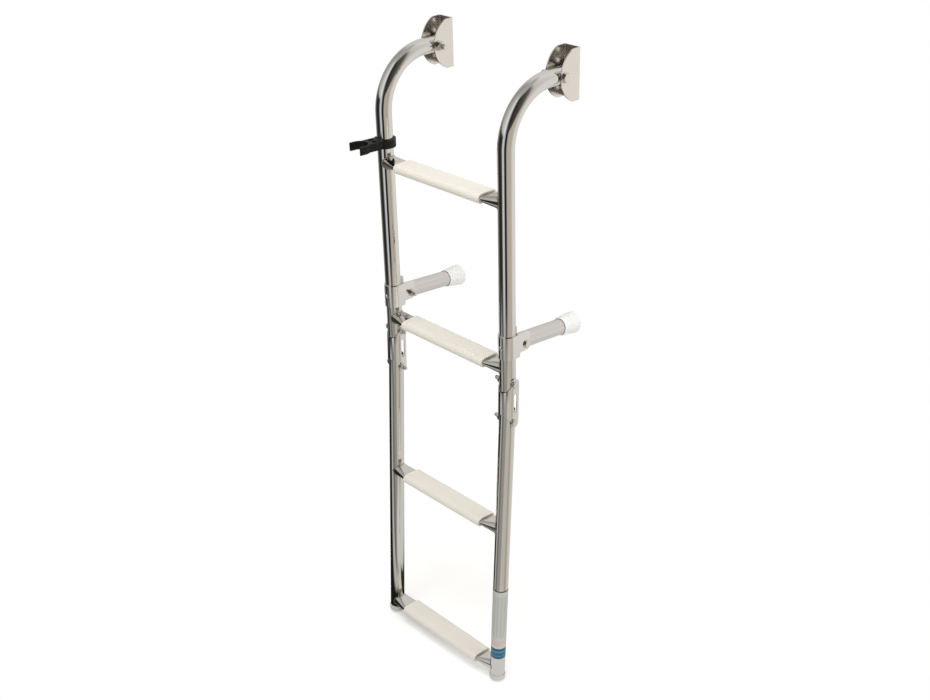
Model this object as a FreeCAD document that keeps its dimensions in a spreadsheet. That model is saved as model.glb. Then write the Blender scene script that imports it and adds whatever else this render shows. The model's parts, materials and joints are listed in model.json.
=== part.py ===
import FreeCAD
import Part
import Sketcher
import math
import os

# Folding boarding ladder of stainless tube for the side or transom of a boat.
# Millimetres. +Z is up, +Y points into the hull, +X is the climber's right.
# The origin is the centre of the right bracket's back face, which is screwed to the hull.

FOLDER = "parts"

# Driving dimensions: word, value.
DRIVING = [
    # tubes
    ("tube_dia", 25.4),
    ("tube_wall", 1.2),
    ("stile_spacing", 262.0),
    ("stile_reach", 137.0),
    ("hook_bend", 85.0),
    ("weld_gap", 0.05),
    # brackets on the hull
    ("bracket_height", 76.0),
    ("bracket_depth", 41.0),
    ("bracket_flat", 16.0),
    ("bracket_sheet", 2.0),
    ("bracket_bend", 3.0),
    ("bracket_side_gap", 0.8),
    ("bolt_setback", 31.0),
    ("bolt_dia", 8.0),
    ("bolt_play", 0.05),
    ("bolt_head_dia", 15.0),
    ("bolt_head_rise", 4.0),
    ("nut_flats", 13.0),
    ("nut_height", 5.5),
    ("nut_collar_dia", 11.5),
    ("nut_collar_height", 2.5),
    ("bolt_tail", 6.0),
    ("bolt_end_chamfer", 0.7),
    ("hook_end_margin", 14.0),
    ("hull_hole_dia", 6.6),
    ("inner_hole_pitch", 24.0),
    ("outer_hole_pitch", 56.0),
    # rungs and tread pads
    ("rung_end_dia", 24.0),
    ("rung_press", 8.5),
    ("rung_width", 33.0),
    ("rung_inset", 3.0),
    ("top_rung_drop", 162.0),
    ("second_rung_above_hinge", 24.0),
    ("third_rung_drop", 204.5),
    ("bottom_rung_drop", 486.0),
    ("pad_margin", 25.8),
    ("pad_end_gap", 1.0),
    ("pad_wall", 3.2),
    ("pad_play", 0.2),
    ("pad_gap", 18.0),
    # straps and folding stand-off arms
    ("strap_above_hinge", 63.5),
    ("strap_height", 38.0),
    ("strap_sheet", 1.6),
    ("strap_play", 0.3),
    ("ear_reach", 34.0),
    ("ear_shoulder", 12.5),
    ("ear_lower_step", 7.0),
    ("ear_corner", 6.0),
    ("arm_setback", 26.6),
    ("arm_pivot_lower", 2.0),
    ("arm_droop", 6.0),
    ("arm_length", 118.0),
    ("arm_heel", 12.3),
    ("arm_heel_round", 13.3),
    ("small_bolt_dia", 6.0),
    ("small_head_dia", 12.0),
    ("small_head_rise", 3.2),
    ("small_nut_flats", 10.0),
    ("small_nut_height", 4.0),
    ("small_nut_collar_dia", 8.8),
    ("small_nut_collar_height", 2.0),
    ("small_bolt_tail", 5.0),
    ("screw_dia", 4.0),
    ("screw_head_dia", 7.5),
    ("screw_head_rise", 2.4),
    ("screw_bite", 5.0),
    ("cap_length", 33.0),
    ("cap_floor", 5.0),
    ("cap_mouth_wall", 1.6),
    ("cap_end_dia", 35.0),
    ("cap_edge", 2.5),
    ("cap_play", 0.05),
    # folding hinge
    ("hinge_drop", 455.5),
    ("hinge_pitch", 66.5),
    ("hinge_sheet", 1.6),
    ("hinge_play", 0.3),
    ("hinge_cant", 1.67),
    ("hinge_end_round", 10.2),
    ("hinge_head_dia", 14.0),
    ("hinge_head_rise", 4.0),
    ("notch_depth", 13.7),
    ("notch_side_gap", 0.6),
    ("slot_width", 6.5),
    ("slot_length", 33.0),
    ("slot_back", 2.8),
    ("stile_end_margin", 19.0),
    # lower section
    ("foot_drop", 505.5),
    ("foot_cap_wall", 0.9),
    ("foot_cap_height", 9.5),
    ("foot_cap_floor", 2.5),
    # stowage clip
    ("clip_drop", 131.0),
    ("clip_height", 13.0),
    ("clip_turn", 8.0),
    ("clip_ring_wall", 4.2),
    ("clip_wall", 2.7),
    ("clip_waist", 24.0),
    ("clip_reach", 46.0),
    ("clip_prong", 9.0),
    ("clip_tip_round", 1.2),
    ("clip_play", 0.05),
    ("clip_jaw_play", 0.4),
    ("clip_rib", 3.6),
    ("clip_window_long", 9.0),
    ("clip_window_wide", 7.0),
]

doc = FreeCAD.newDocument("boarding_ladder")
sheet = doc.addObject("Spreadsheet::Sheet", "Sizes")
for row, (word, number) in enumerate(DRIVING, start=1):
    sheet.set("A%d" % row, word.replace("_", " "))
    sheet.set("B%d" % row, str(number))
    sheet.setAlias("B%d" % row, word)
doc.recompute()


class Size:
    """A number that remembers the sheet formula it came from."""

    def __init__(self, value, formula):
        self.value = float(value)
        self.formula = formula

    def __add__(self, other):
        other = as_size(other)
        return Size(self.value + other.value, "(%s + %s)" % (self.formula, other.formula))

    def __sub__(self, other):
        other = as_size(other)
        return Size(self.value - other.value, "(%s - %s)" % (self.formula, other.formula))

    def __mul__(self, other):
        other = as_size(other)
        return Size(self.value * other.value, "(%s * %s)" % (self.formula, other.formula))

    def __truediv__(self, other):
        other = as_size(other)
        return Size(self.value / other.value, "(%s / %s)" % (self.formula, other.formula))

    def __neg__(self):
        return Size(-self.value, "(0 - %s)" % self.formula)

    def sine(self):
        return Size(math.sin(math.radians(self.value)), "sin(%s)" % self.formula)

    def cosine(self):
        return Size(math.cos(math.radians(self.value)), "cos(%s)" % self.formula)


def as_size(number):
    if isinstance(number, Size):
        return number
    return Size(number, repr(float(number)))


class Dimensions:
    """Each driving dimension as an attribute."""


dim = Dimensions()
for word, number in DRIVING:
    setattr(dim, word, Size(sheet.get(word), "Sizes." + word))

zero = as_size(0)

# How far a cut's outline runs past the surface that it cuts.
PAST = as_size(2)

# The least straight run between two rounded corners.
LEAST_FLAT = as_size(0.2)

HALF_TURN = as_size(180)

# Sizes that follow from the driving ones.
tube_radius = dim.tube_dia / 2
channel_inner = dim.tube_dia / 2 + dim.bracket_side_gap
channel_outer = channel_inner + dim.bracket_sheet
strap_inner = tube_radius + dim.strap_play
strap_outer = strap_inner + dim.strap_sheet
hinge_inner = tube_radius + dim.hinge_play
hinge_outer = hinge_inner + dim.hinge_sheet
stile_foot = dim.hinge_drop + dim.stile_end_margin
second_rung_drop = dim.hinge_drop - dim.second_rung_above_hinge
strap_drop = dim.hinge_drop - dim.strap_above_hinge
lean = dim.hinge_cant * 2
pad_length = dim.stile_spacing - dim.tube_dia - dim.pad_margin * 2
lower_pivot_y = -dim.stile_reach - dim.hinge_pitch * dim.hinge_cant.sine()
lower_pivot_z = -dim.hinge_drop - dim.hinge_pitch * dim.hinge_cant.cosine()
SIDES = [("right", zero, 1), ("left", -dim.stile_spacing, -1)]

nodes = []


def start_body(label):
    body = doc.addObject("PartDesign::Body", "Body_" + label)
    body.Label = label
    nodes.append(body)
    return body


def place(body, x=zero, y=zero, z=zero, turn=zero, about=(1, 0, 0)):
    """Put a body in the ladder's frame, turned by an angle in degrees."""
    body.Placement = FreeCAD.Placement(
        FreeCAD.Vector(x.value, y.value, z.value),
        FreeCAD.Rotation(FreeCAD.Vector(*about), turn.value))
    body.setExpression("Placement.Base.x", x.formula)
    body.setExpression("Placement.Base.y", y.formula)
    body.setExpression("Placement.Base.z", z.formula)
    if turn is not zero:
        body.setExpression("Placement.Rotation.Angle", turn.formula)


def new_sketch(body, name, plane, lift=zero):
    sketch = body.newObject("Sketcher::SketchObject", name)
    for feature in body.Origin.OriginFeatures:
        if feature.Role == plane:
            sketch.AttachmentSupport = (feature, [""])
    sketch.MapMode = "FlatFace"
    if lift is not zero:
        sketch.AttachmentOffset = FreeCAD.Placement(
            FreeCAD.Vector(0, 0, lift.value), FreeCAD.Rotation())
        sketch.setExpression("AttachmentOffset.Base.z", lift.formula)
    return sketch


def pin(sketch, geometry, place_on_it, x=None, y=None):
    """Fix the coordinates of a point of the sketch to sheet formulas."""
    for kind, size in (("DistanceX", x), ("DistanceY", y)):
        if size is not None:
            number = sketch.addConstraint(
                Sketcher.Constraint(kind, -1, 1, geometry, place_on_it, size.value))
            sketch.setExpression("Constraints[%d]" % number, size.formula)


def add_circle(sketch, x, y, radius):
    x, y, radius = as_size(x), as_size(y), as_size(radius)
    centre = FreeCAD.Vector(x.value, y.value, 0)
    geometry = sketch.addGeometry(
        Part.Circle(centre, FreeCAD.Vector(0, 0, 1), radius.value), False)
    number = sketch.addConstraint(Sketcher.Constraint("Radius", geometry, radius.value))
    sketch.setExpression("Constraints[%d]" % number, radius.formula)
    pin(sketch, geometry, 3, x, y)


def add_outline(sketch, corners, closed=True):
    """Lines and arcs through corners.

    A corner is (x, y) or (x, y, arc): the arc says how the edge that leaves the corner
    bends, as (centre x, centre y, anticlockwise).
    """
    corners = [tuple(as_size(c) for c in corner[:2]) + tuple(corner[2:]) for corner in corners]
    count = len(corners) if closed else len(corners) - 1
    edges = []
    for index in range(count):
        corner = corners[index]
        following = corners[(index + 1) % len(corners)]
        start = FreeCAD.Vector(corner[0].value, corner[1].value, 0)
        end = FreeCAD.Vector(following[0].value, following[1].value, 0)
        if len(corner) == 2:
            edges.append((sketch.addGeometry(Part.LineSegment(start, end), False), 1, 2))
            continue
        centre_x, centre_y, anticlockwise = corner[2]
        centre_x, centre_y = as_size(centre_x), as_size(centre_y)
        centre = FreeCAD.Vector(centre_x.value, centre_y.value, 0)
        if not anticlockwise:
            start, end = end, start
        first = math.atan2(start.y - centre.y, start.x - centre.x)
        last = math.atan2(end.y - centre.y, end.x - centre.x)
        if last <= first:
            last += 2 * math.pi
        circle = Part.Circle(centre, FreeCAD.Vector(0, 0, 1), start.distanceToPoint(centre))
        geometry = sketch.addGeometry(Part.ArcOfCircle(circle, first, last), False)
        edges.append((geometry, 1, 2) if anticlockwise else (geometry, 2, 1))
        # One coordinate of the centre fixes the bend: the one along the chord's bisector.
        if abs(end.x - start.x) > abs(end.y - start.y):
            pin(sketch, geometry, 3, y=centre_y)
        else:
            pin(sketch, geometry, 3, x=centre_x)
    for index, (geometry, first_end, last_end) in enumerate(edges):
        pin(sketch, geometry, first_end, corners[index][0], corners[index][1])
        if closed or index + 1 < len(edges):
            following, following_end, _ = edges[(index + 1) % len(edges)]
            sketch.addConstraint(Sketcher.Constraint(
                "Coincident", geometry, last_end, following, following_end))
        else:
            pin(sketch, geometry, last_end, corners[-1][0], corners[-1][1])


def pad(body, name, sketch, length, back=None):
    """Extrude a sketch: evenly both ways, or ahead by one length and back by another."""
    feature = body.newObject("PartDesign::Pad", name)
    feature.Profile = sketch
    length = as_size(length)
    feature.Length = length.value
    feature.setExpression("Length", length.formula)
    if back is None:
        feature.SideType = "Symmetric"
    else:
        feature.SideType = "Two sides"
        feature.Length2 = back.value
        feature.setExpression("Length2", back.formula)
    return feature


def pad_ahead(body, name, sketch, length):
    """Extrude a sketch along its plane's normal only."""
    feature = pad(body, name, sketch, length)
    feature.SideType = "One side"
    return feature


def pocket_through(body, name, sketch):
    doc.recompute()
    before = body.Shape.Volume
    feature = body.newObject("PartDesign::Pocket", name)
    feature.Profile = sketch
    feature.Type = "ThroughAll"
    feature.SideType = "Symmetric"
    doc.recompute()
    if body.Shape.Volume >= before:
        raise RuntimeError("%s in %s cuts nothing" % (name, body.Label))
    return feature


def pocket_forward(body, name, sketch, length):
    """Cut from a sketch on the XZ plane towards -Y."""
    doc.recompute()
    before = body.Shape.Volume
    feature = body.newObject("PartDesign::Pocket", name)
    feature.Profile = sketch
    feature.Reversed = True
    feature.Length = length.value
    feature.setExpression("Length", length.formula)
    doc.recompute()
    if body.Shape.Volume >= before:
        raise RuntimeError("%s in %s cuts nothing" % (name, body.Label))
    return feature


def revolve(body, name, sketch, axis):
    feature = body.newObject("PartDesign::Revolution", name)
    feature.Profile = sketch
    feature.ReferenceAxis = (sketch, [axis])
    feature.Angle = 360
    return feature


def cross_hole(body, name, y, z, diameter):
    """A hole through a piece along X."""
    sketch = new_sketch(body, name + "_sketch", "YZ_Plane")
    add_circle(sketch, y, z, diameter / 2)
    pocket_through(body, name, sketch)


# Brackets: a channel of sheet whose two cheeks are rounded, screwed to the hull.

def make_bracket(side, x):
    body = start_body(side + "_bracket")
    section = new_sketch(body, "channel", "XY_Plane")
    bend = dim.bracket_bend
    turn = channel_outer - bend
    add_outline(section, [
        (-channel_outer, -dim.bracket_depth),
        (-channel_inner, -dim.bracket_depth),
        (-channel_inner, -bend, (-turn, -bend, False)),
        (-turn, -dim.bracket_sheet),
        (turn, -dim.bracket_sheet, (turn, -bend, False)),
        (channel_inner, -bend),
        (channel_inner, -dim.bracket_depth),
        (channel_outer, -dim.bracket_depth),
        (channel_outer, -bend, (turn, -bend, True)),
        (turn, 0),
        (-turn, 0, (-turn, -bend, True)),
        (-channel_outer, -bend)])
    pad(body, "channel_pad", section, dim.bracket_height)
    half = dim.bracket_height / 2
    nose_centre = (dim.bracket_flat * dim.bracket_flat + half * half
                   - dim.bracket_depth * dim.bracket_depth) / (
                       (dim.bracket_depth - dim.bracket_flat) * 2)
    outline = new_sketch(body, "cheek_outline", "YZ_Plane")
    add_outline(outline, [
        (-dim.bracket_flat, -half, (nose_centre, 0, False)),
        (-dim.bracket_flat, half),
        (-dim.bracket_flat, half + PAST),
        (-dim.bracket_depth - PAST, half + PAST),
        (-dim.bracket_depth - PAST, -half - PAST),
        (-dim.bracket_flat, -half - PAST)])
    pocket_through(body, "cheek_cut", outline)
    cross_hole(body, "pivot_hole", -dim.bolt_setback, zero, dim.bolt_dia + dim.bolt_play * 2)
    holes = new_sketch(body, "hull_holes", "XZ_Plane")
    for pitch in (dim.inner_hole_pitch, dim.outer_hole_pitch):
        add_circle(holes, 0, pitch / 2, dim.hull_hole_dia / 2)
        add_circle(holes, 0, -pitch / 2, dim.hull_hole_dia / 2)
    pocket_through(body, "hull_hole_cut", holes)
    place(body, x)


# Bolts and nuts: dome-headed bolts along X, heads outside the ladder, lock nuts inside.

def make_bolt(label, x, y, z, grip, sizes, reach, turn):
    """A bolt whose shank runs on past its grip by the reach."""
    shank, head, rise = sizes
    body = start_body(label)
    section = new_sketch(body, "half_section", "XY_Plane")
    under_head = -grip / 2
    rim = rise / 4
    crown = rise - rim
    crown_radius = (head * head / 4 + crown * crown) / (crown * 2)
    crown_centre = under_head - rise + crown_radius
    shank_end = grip / 2 + reach
    add_outline(section, [
        (shank_end, 0),
        (shank_end, shank / 2 - dim.bolt_end_chamfer),
        (shank_end - dim.bolt_end_chamfer, shank / 2),
        (under_head, shank / 2),
        (under_head, head / 2),
        (under_head - rim, head / 2, (crown_centre, 0, True)),
        (under_head - rise, 0)])
    revolve(body, "turned", section, "H_Axis")
    place(body, x, y, z, turn, (0, 0, 1))


def make_nut(label, x, y, z, sizes, shank, turn):
    """A lock nut whose hexagon bears on the place given, with a round collar past it."""
    flats, height, collar_dia, collar_height = sizes
    bore = shank / 2 + dim.bolt_play
    body = start_body(label)
    section = new_sketch(body, "hexagon", "YZ_Plane")
    corner = flats / math.sqrt(3)
    add_outline(section, [
        (corner, 0), (corner / 2, flats / 2), (-corner / 2, flats / 2),
        (-corner, 0), (-corner / 2, -flats / 2), (corner / 2, -flats / 2)])
    add_circle(section, 0, 0, bore)
    pad_ahead(body, "hexagon_pad", section, height)
    collar = new_sketch(body, "collar_section", "XY_Plane")
    rim = collar_dia / 2
    top = height + collar_height
    edge = collar_height / 2
    add_outline(collar, [
        (0, bore),
        (top, bore),
        (top, rim - edge),
        (top - edge, rim),
        (0, rim)])
    revolve(body, "collar", collar, "H_Axis")
    place(body, x, y, z, turn, (0, 0, 1))


def make_bolt_and_nut(label, x, y, z, outward, grip, sizes, tail, nut):
    """A bolt through its grip, the nut tight against the inner side, and a tail past the nut.

    The head is towards +X where outward is 1, and towards -X where it is -1.
    """
    flats, height, collar_dia, collar_height = nut
    shank = sizes[0]
    turn = HALF_TURN if outward > 0 else zero
    make_bolt(label + "_bolt", x, y, z, grip, sizes, height + collar_height + tail, turn)
    make_nut(label + "_nut", x - grip / 2 * outward, y, z, nut, shank, turn)


BRACKET_BOLT = (dim.bolt_dia, dim.bolt_head_dia, dim.bolt_head_rise)
BRACKET_NUT = (dim.nut_flats, dim.nut_height, dim.nut_collar_dia, dim.nut_collar_height)
STANDOFF_BOLT = (dim.small_bolt_dia, dim.small_head_dia, dim.small_head_rise)
HINGE_BOLT = (dim.small_bolt_dia, dim.hinge_head_dia, dim.hinge_head_rise)
SMALL_NUT = (dim.small_nut_flats, dim.small_nut_height,
             dim.small_nut_collar_dia, dim.small_nut_collar_height)


# Upper stiles: one tube each, bent over at the top into the hook that enters the bracket.

def make_upper_stile(side, x):
    body = start_body(side + "_upper_stile")
    path = new_sketch(body, "path", "YZ_Plane")
    add_outline(path, [
        (-dim.stile_reach, -stile_foot),
        (-dim.stile_reach, -dim.hook_bend,
         (dim.hook_bend - dim.stile_reach, -dim.hook_bend, False)),
        (dim.hook_bend - dim.stile_reach, 0),
        (dim.hook_end_margin - dim.bolt_setback, 0)], closed=False)
    ring = new_sketch(body, "tube_section", "XY_Plane", -stile_foot)
    add_circle(ring, 0, -dim.stile_reach, tube_radius)
    add_circle(ring, 0, -dim.stile_reach, tube_radius - dim.tube_wall)
    doc.recompute()
    tube = body.newObject("PartDesign::AdditivePipe", "bent_tube")
    tube.Profile = ring
    tube.Spine = (path, ["Edge1", "Edge2", "Edge3"])
    tube.Transition = "Transformed"
    cross_hole(body, "bracket_bolt_hole", -dim.bolt_setback, zero,
               dim.bolt_dia + dim.bolt_play * 2)
    cross_hole(body, "hinge_bolt_hole", -dim.stile_reach, -dim.hinge_drop,
               dim.small_bolt_dia + dim.bolt_play * 2)
    screw_hole = new_sketch(body, "screw_hole_sketch", "XZ_Plane", dim.stile_reach)
    add_circle(screw_hole, 0, -strap_drop, dim.screw_dia / 2)
    pocket_forward(body, "screw_hole", screw_hole, tube_radius + PAST)
    place(body, x)


# Rungs: the same tube pressed flat between the stiles and left round at the welds.

def add_rounded(sketch, half_y, half_z, corner):
    """A rounded rectangle on the YZ plane, its four corners as quarter arcs."""
    y, z = half_y - corner, half_z - corner
    add_outline(sketch, [
        (half_y, -z), (half_y, z, (y, z, True)),
        (y, half_z), (-y, half_z, (-y, z, True)),
        (-half_y, z), (-half_y, -z, (-y, -z, True)),
        (-y, -half_z), (y, -half_z, (y, -z, True))])


def loft_rung(body, kind, name, inset):
    """Loft through the round ends and the pressed middle, all drawn in by the inset."""
    half_span = dim.stile_spacing / 2 - dim.rung_inset
    flat_span = pad_length / 2 + dim.pad_end_gap
    round_half = dim.rung_end_dia / 2 - inset
    press_half = dim.rung_press / 2 - inset
    width_half = dim.rung_width / 2 - inset
    sketches = []
    for number, (at, half_y, half_z) in enumerate((
            (-half_span, round_half, round_half),
            (-flat_span, width_half, press_half),
            (flat_span, width_half, press_half),
            (half_span, round_half, round_half))):
        sketch = new_sketch(body, "%s_%d" % (name, number), "YZ_Plane", at)
        add_rounded(sketch, half_y, half_z, half_z - LEAST_FLAT / 2)
        sketches.append(sketch)
    doc.recompute()
    loft = body.newObject(kind, name)
    loft.Profile = sketches[0]
    loft.Sections = sketches[1:]
    loft.Ruled = True
    return loft


def make_rung(label, y, z, turn=zero):
    body = start_body(label)
    loft_rung(body, "PartDesign::AdditiveLoft", "outside", zero)
    loft_rung(body, "PartDesign::SubtractiveLoft", "inside", dim.tube_wall)
    cope = new_sketch(body, "cope", "XY_Plane")
    for centre in (-dim.stile_spacing / 2, dim.stile_spacing / 2):
        add_circle(cope, centre, 0, tube_radius + dim.weld_gap)
    pocket_through(body, "cope_cut", cope)
    place(body, -dim.stile_spacing / 2, y, z, turn)


# Tread pads: an open plastic section that wraps the pressed part of each rung.

def make_tread_pad(label, y, z, turn=zero):
    body = start_body(label)
    inner = dim.rung_press / 2 + dim.pad_play
    outer = inner + dim.pad_wall
    flat = dim.rung_width / 2 - dim.rung_press / 2
    lip = dim.pad_gap / 2
    section = new_sketch(body, "open_section", "YZ_Plane")
    add_outline(section, [
        (-lip, -outer),
        (-lip, -inner),
        (-flat, -inner, (-flat, 0, False)),
        (-flat, inner),
        (flat, inner, (flat, 0, False)),
        (flat, -inner),
        (lip, -inner),
        (lip, -outer),
        (flat, -outer, (flat, 0, True)),
        (flat, outer),
        (-flat, outer, (-flat, 0, True)),
        (-flat, -outer)])
    pad(body, "extruded", section, pad_length)
    place(body, -dim.stile_spacing / 2, y, z, turn)


# Straps: sheet bent round the front of the stile, with two ears that carry the arm.

def add_u_section(sketch, inner, outer, back, centre=zero):
    """A U of sheet, closed round the -Y side and open towards +Y."""
    add_outline(sketch, [
        (-outer, back),
        (-outer, centre, (0, centre, True)),
        (outer, centre),
        (outer, back),
        (inner, back),
        (inner, centre, (0, centre, False)),
        (-inner, centre),
        (-inner, back)])


def make_strap(side, x):
    body = start_body(side + "_strap")
    section = new_sketch(body, "u_section", "XY_Plane")
    add_u_section(section, strap_inner, strap_outer, dim.ear_reach)
    pad(body, "u_pad", section, dim.strap_height)
    half = dim.strap_height / 2
    lower = new_sketch(body, "ear_outline", "YZ_Plane")
    step = -half + dim.ear_lower_step
    corner = dim.ear_corner
    add_outline(lower, [
        (dim.ear_shoulder, -half - PAST),
        (dim.ear_reach + PAST, -half - PAST),
        (dim.ear_reach + PAST, half + PAST),
        (dim.ear_reach - corner, half + PAST),
        (dim.ear_reach - corner, half,
         (dim.ear_reach - corner, half - corner, False)),
        (dim.ear_reach, half - corner),
        (dim.ear_reach, step + corner,
         (dim.ear_reach - corner, step + corner, False)),
        (dim.ear_reach - corner, step),
        (dim.ear_shoulder, step)])
    pocket_through(body, "ear_cut", lower)
    cross_hole(body, "arm_bolt_hole", dim.arm_setback, -dim.arm_pivot_lower,
               dim.small_bolt_dia + dim.bolt_play * 2)
    front = new_sketch(body, "screw_hole_sketch", "XZ_Plane")
    add_circle(front, 0, 0, dim.screw_dia / 2)
    pocket_through(body, "screw_hole", front)
    place(body, x, -dim.stile_reach, -strap_drop)


def make_strap_screw(side, x):
    """Small pan-headed screw in the front of the strap."""
    body = start_body(side + "_strap_screw")
    section = new_sketch(body, "half_section", "XY_Plane")
    radius = dim.screw_head_dia / 2
    rise = dim.screw_head_rise
    crown_radius = (radius * radius + rise * rise) / (rise * 2)
    add_outline(section, [
        (0, -strap_outer - rise, (0, crown_radius - strap_outer - rise, True)),
        (radius, -strap_outer),
        (dim.screw_dia / 2, -strap_outer),
        (dim.screw_dia / 2, dim.screw_bite - strap_outer),
        (0, dim.screw_bite - strap_outer)])
    revolve(body, "turned", section, "V_Axis")
    place(body, x, -dim.stile_reach, -strap_drop)


# Stand-off arms: tube that folds up along the stile, its lower heel resting on the stile.

arm_pivot_y = dim.arm_setback - dim.stile_reach
arm_pivot_z = -strap_drop - dim.arm_pivot_lower


def make_arm(side, x):
    body = start_body(side + "_standoff_arm")
    ring = new_sketch(body, "tube_section", "XZ_Plane")
    add_circle(ring, 0, 0, tube_radius)
    add_circle(ring, 0, 0, tube_radius - dim.tube_wall)
    pad(body, "tube", ring, dim.arm_heel, dim.arm_length)
    heel = new_sketch(body, "heel_sketch", "YZ_Plane")
    top = tube_radius + PAST
    add_outline(heel, [
        (-dim.arm_heel_round, 0, (0, 0, False)),
        (0, dim.arm_heel_round),
        (0, top),
        (-dim.arm_heel_round - PAST, top),
        (-dim.arm_heel_round - PAST, 0)])
    pocket_through(body, "heel_cut", heel)
    cross_hole(body, "bolt_hole", zero, zero, dim.small_bolt_dia + dim.bolt_play * 2)
    place(body, x, arm_pivot_y, arm_pivot_z, -dim.arm_droop)


def make_cap(side, x):
    """White moulded cap, flared towards the face that rests on the hull."""
    body = start_body(side + "_standoff_cap")
    bore = tube_radius + dim.cap_play
    mouth = dim.arm_length - dim.cap_length + dim.cap_floor
    floor = dim.arm_length + dim.cap_play
    face = dim.arm_length + dim.cap_floor
    section = new_sketch(body, "half_section", "XY_Plane")
    rim = dim.cap_end_dia / 2
    add_outline(section, [
        (bore, mouth),
        (bore + dim.cap_mouth_wall, mouth),
        (rim, face - dim.cap_edge, (rim - dim.cap_edge, face - dim.cap_edge, True)),
        (rim - dim.cap_edge, face),
        (0, face),
        (0, floor),
        (bore, floor)])
    revolve(body, "turned", section, "V_Axis")
    place(body, x, arm_pivot_y, arm_pivot_z, -dim.arm_droop)


# Hinge saddles: a U of sheet with a bolt near each end. Its front is notched round both
# tubes, so that each can swing square to it, and each side plate has a long slot.

def make_hinge_saddle(side, x):
    body = start_body(side + "_hinge_saddle")
    # The web bears on the tube where the notch ends, when the tube leans by the cant.
    web_seat = (tube_radius * dim.hinge_cant.cosine()
                - dim.notch_depth * dim.hinge_cant.sine() + dim.hinge_play)
    centre = hinge_inner - web_seat
    half = dim.hinge_pitch / 2
    end = half + dim.hinge_end_round
    section = new_sketch(body, "u_section", "XY_Plane")
    add_u_section(section, hinge_inner, hinge_outer, dim.hinge_end_round, centre)
    pad(body, "u_pad", section, end * 2)
    for name, up in (("upper", 1), ("lower", -1)):
        ends = new_sketch(body, name + "_end_sketch", "YZ_Plane")
        add_outline(ends, [
            (dim.hinge_end_round, half * up, (0, half * up, up > 0)),
            (-dim.hinge_end_round, half * up),
            (-hinge_outer - PAST, half * up),
            (-hinge_outer - PAST, (end + PAST) * up),
            (dim.hinge_end_round + PAST, (end + PAST) * up),
            (dim.hinge_end_round + PAST, half * up)])
        pocket_through(body, name + "_end_cut", ends)
        notch_half = hinge_inner + dim.notch_side_gap
        deep = half - dim.notch_depth + notch_half
        notch = new_sketch(body, name + "_notch_sketch", "XZ_Plane")
        add_outline(notch, [
            (notch_half, deep * up, (0, deep * up, up < 0)),
            (-notch_half, deep * up),
            (-notch_half, (end + PAST) * up),
            (notch_half, (end + PAST) * up)])
        pocket_forward(body, name + "_notch_cut", notch, hinge_outer + PAST)
        cross_hole(body, name + "_bolt_hole", zero, half * up,
                   dim.small_bolt_dia + dim.bolt_play * 2)
    slot = new_sketch(body, "slot_sketch", "YZ_Plane")
    radius = dim.slot_width / 2
    straight = dim.slot_length / 2 - radius
    back = dim.slot_back + radius
    fore = dim.slot_back - radius
    add_outline(slot, [
        (back, -straight), (back, straight, (dim.slot_back, straight, True)),
        (fore, straight), (fore, -straight, (dim.slot_back, -straight, True))])
    pocket_through(body, "slot_cut", slot)
    middle_y = -dim.stile_reach - half * dim.hinge_cant.sine()
    middle_z = -dim.hinge_drop - half * dim.hinge_cant.cosine()
    place(body, x, middle_y, middle_z, -dim.hinge_cant)


# Lower stiles and their foot caps, which lean out with the lower section.

def on_lower(drop):
    """Y and Z of a place on the lower stile, by its distance below the lower hinge bolt."""
    return lower_pivot_y - drop * lean.sine(), lower_pivot_z - drop * lean.cosine()


def make_lower_stile(side, x):
    body = start_body(side + "_lower_stile")
    ring = new_sketch(body, "tube_section", "XY_Plane")
    add_circle(ring, 0, 0, tube_radius)
    add_circle(ring, 0, 0, tube_radius - dim.tube_wall)
    pad(body, "tube", ring, dim.stile_end_margin, dim.foot_drop)
    cross_hole(body, "hinge_bolt_hole", zero, zero, dim.small_bolt_dia + dim.bolt_play * 2)
    place(body, x, lower_pivot_y, lower_pivot_z, -lean)


def make_foot_cap(side, x):
    body = start_body(side + "_foot_cap")
    bore = tube_radius + dim.cap_play
    wall = bore + dim.foot_cap_wall
    floor = -dim.foot_drop - dim.cap_play
    base = floor - dim.foot_cap_floor
    section = new_sketch(body, "half_section", "XZ_Plane")
    add_outline(section, [
        (0, base),
        (wall - dim.foot_cap_wall, base,
         (wall - dim.foot_cap_wall, base + dim.foot_cap_wall, True)),
        (wall, base + dim.foot_cap_wall),
        (wall, base + dim.foot_cap_height),
        (bore, base + dim.foot_cap_height),
        (bore, floor),
        (0, floor)])
    revolve(body, "turned", section, "V_Axis")
    place(body, x, lower_pivot_y, lower_pivot_z, -lean)


# Stowage clip: a moulded ring on the left stile, joined by a waisted web to a jaw that takes
# the lower left stile when the ladder is folded. It turns on its stile.

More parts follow.
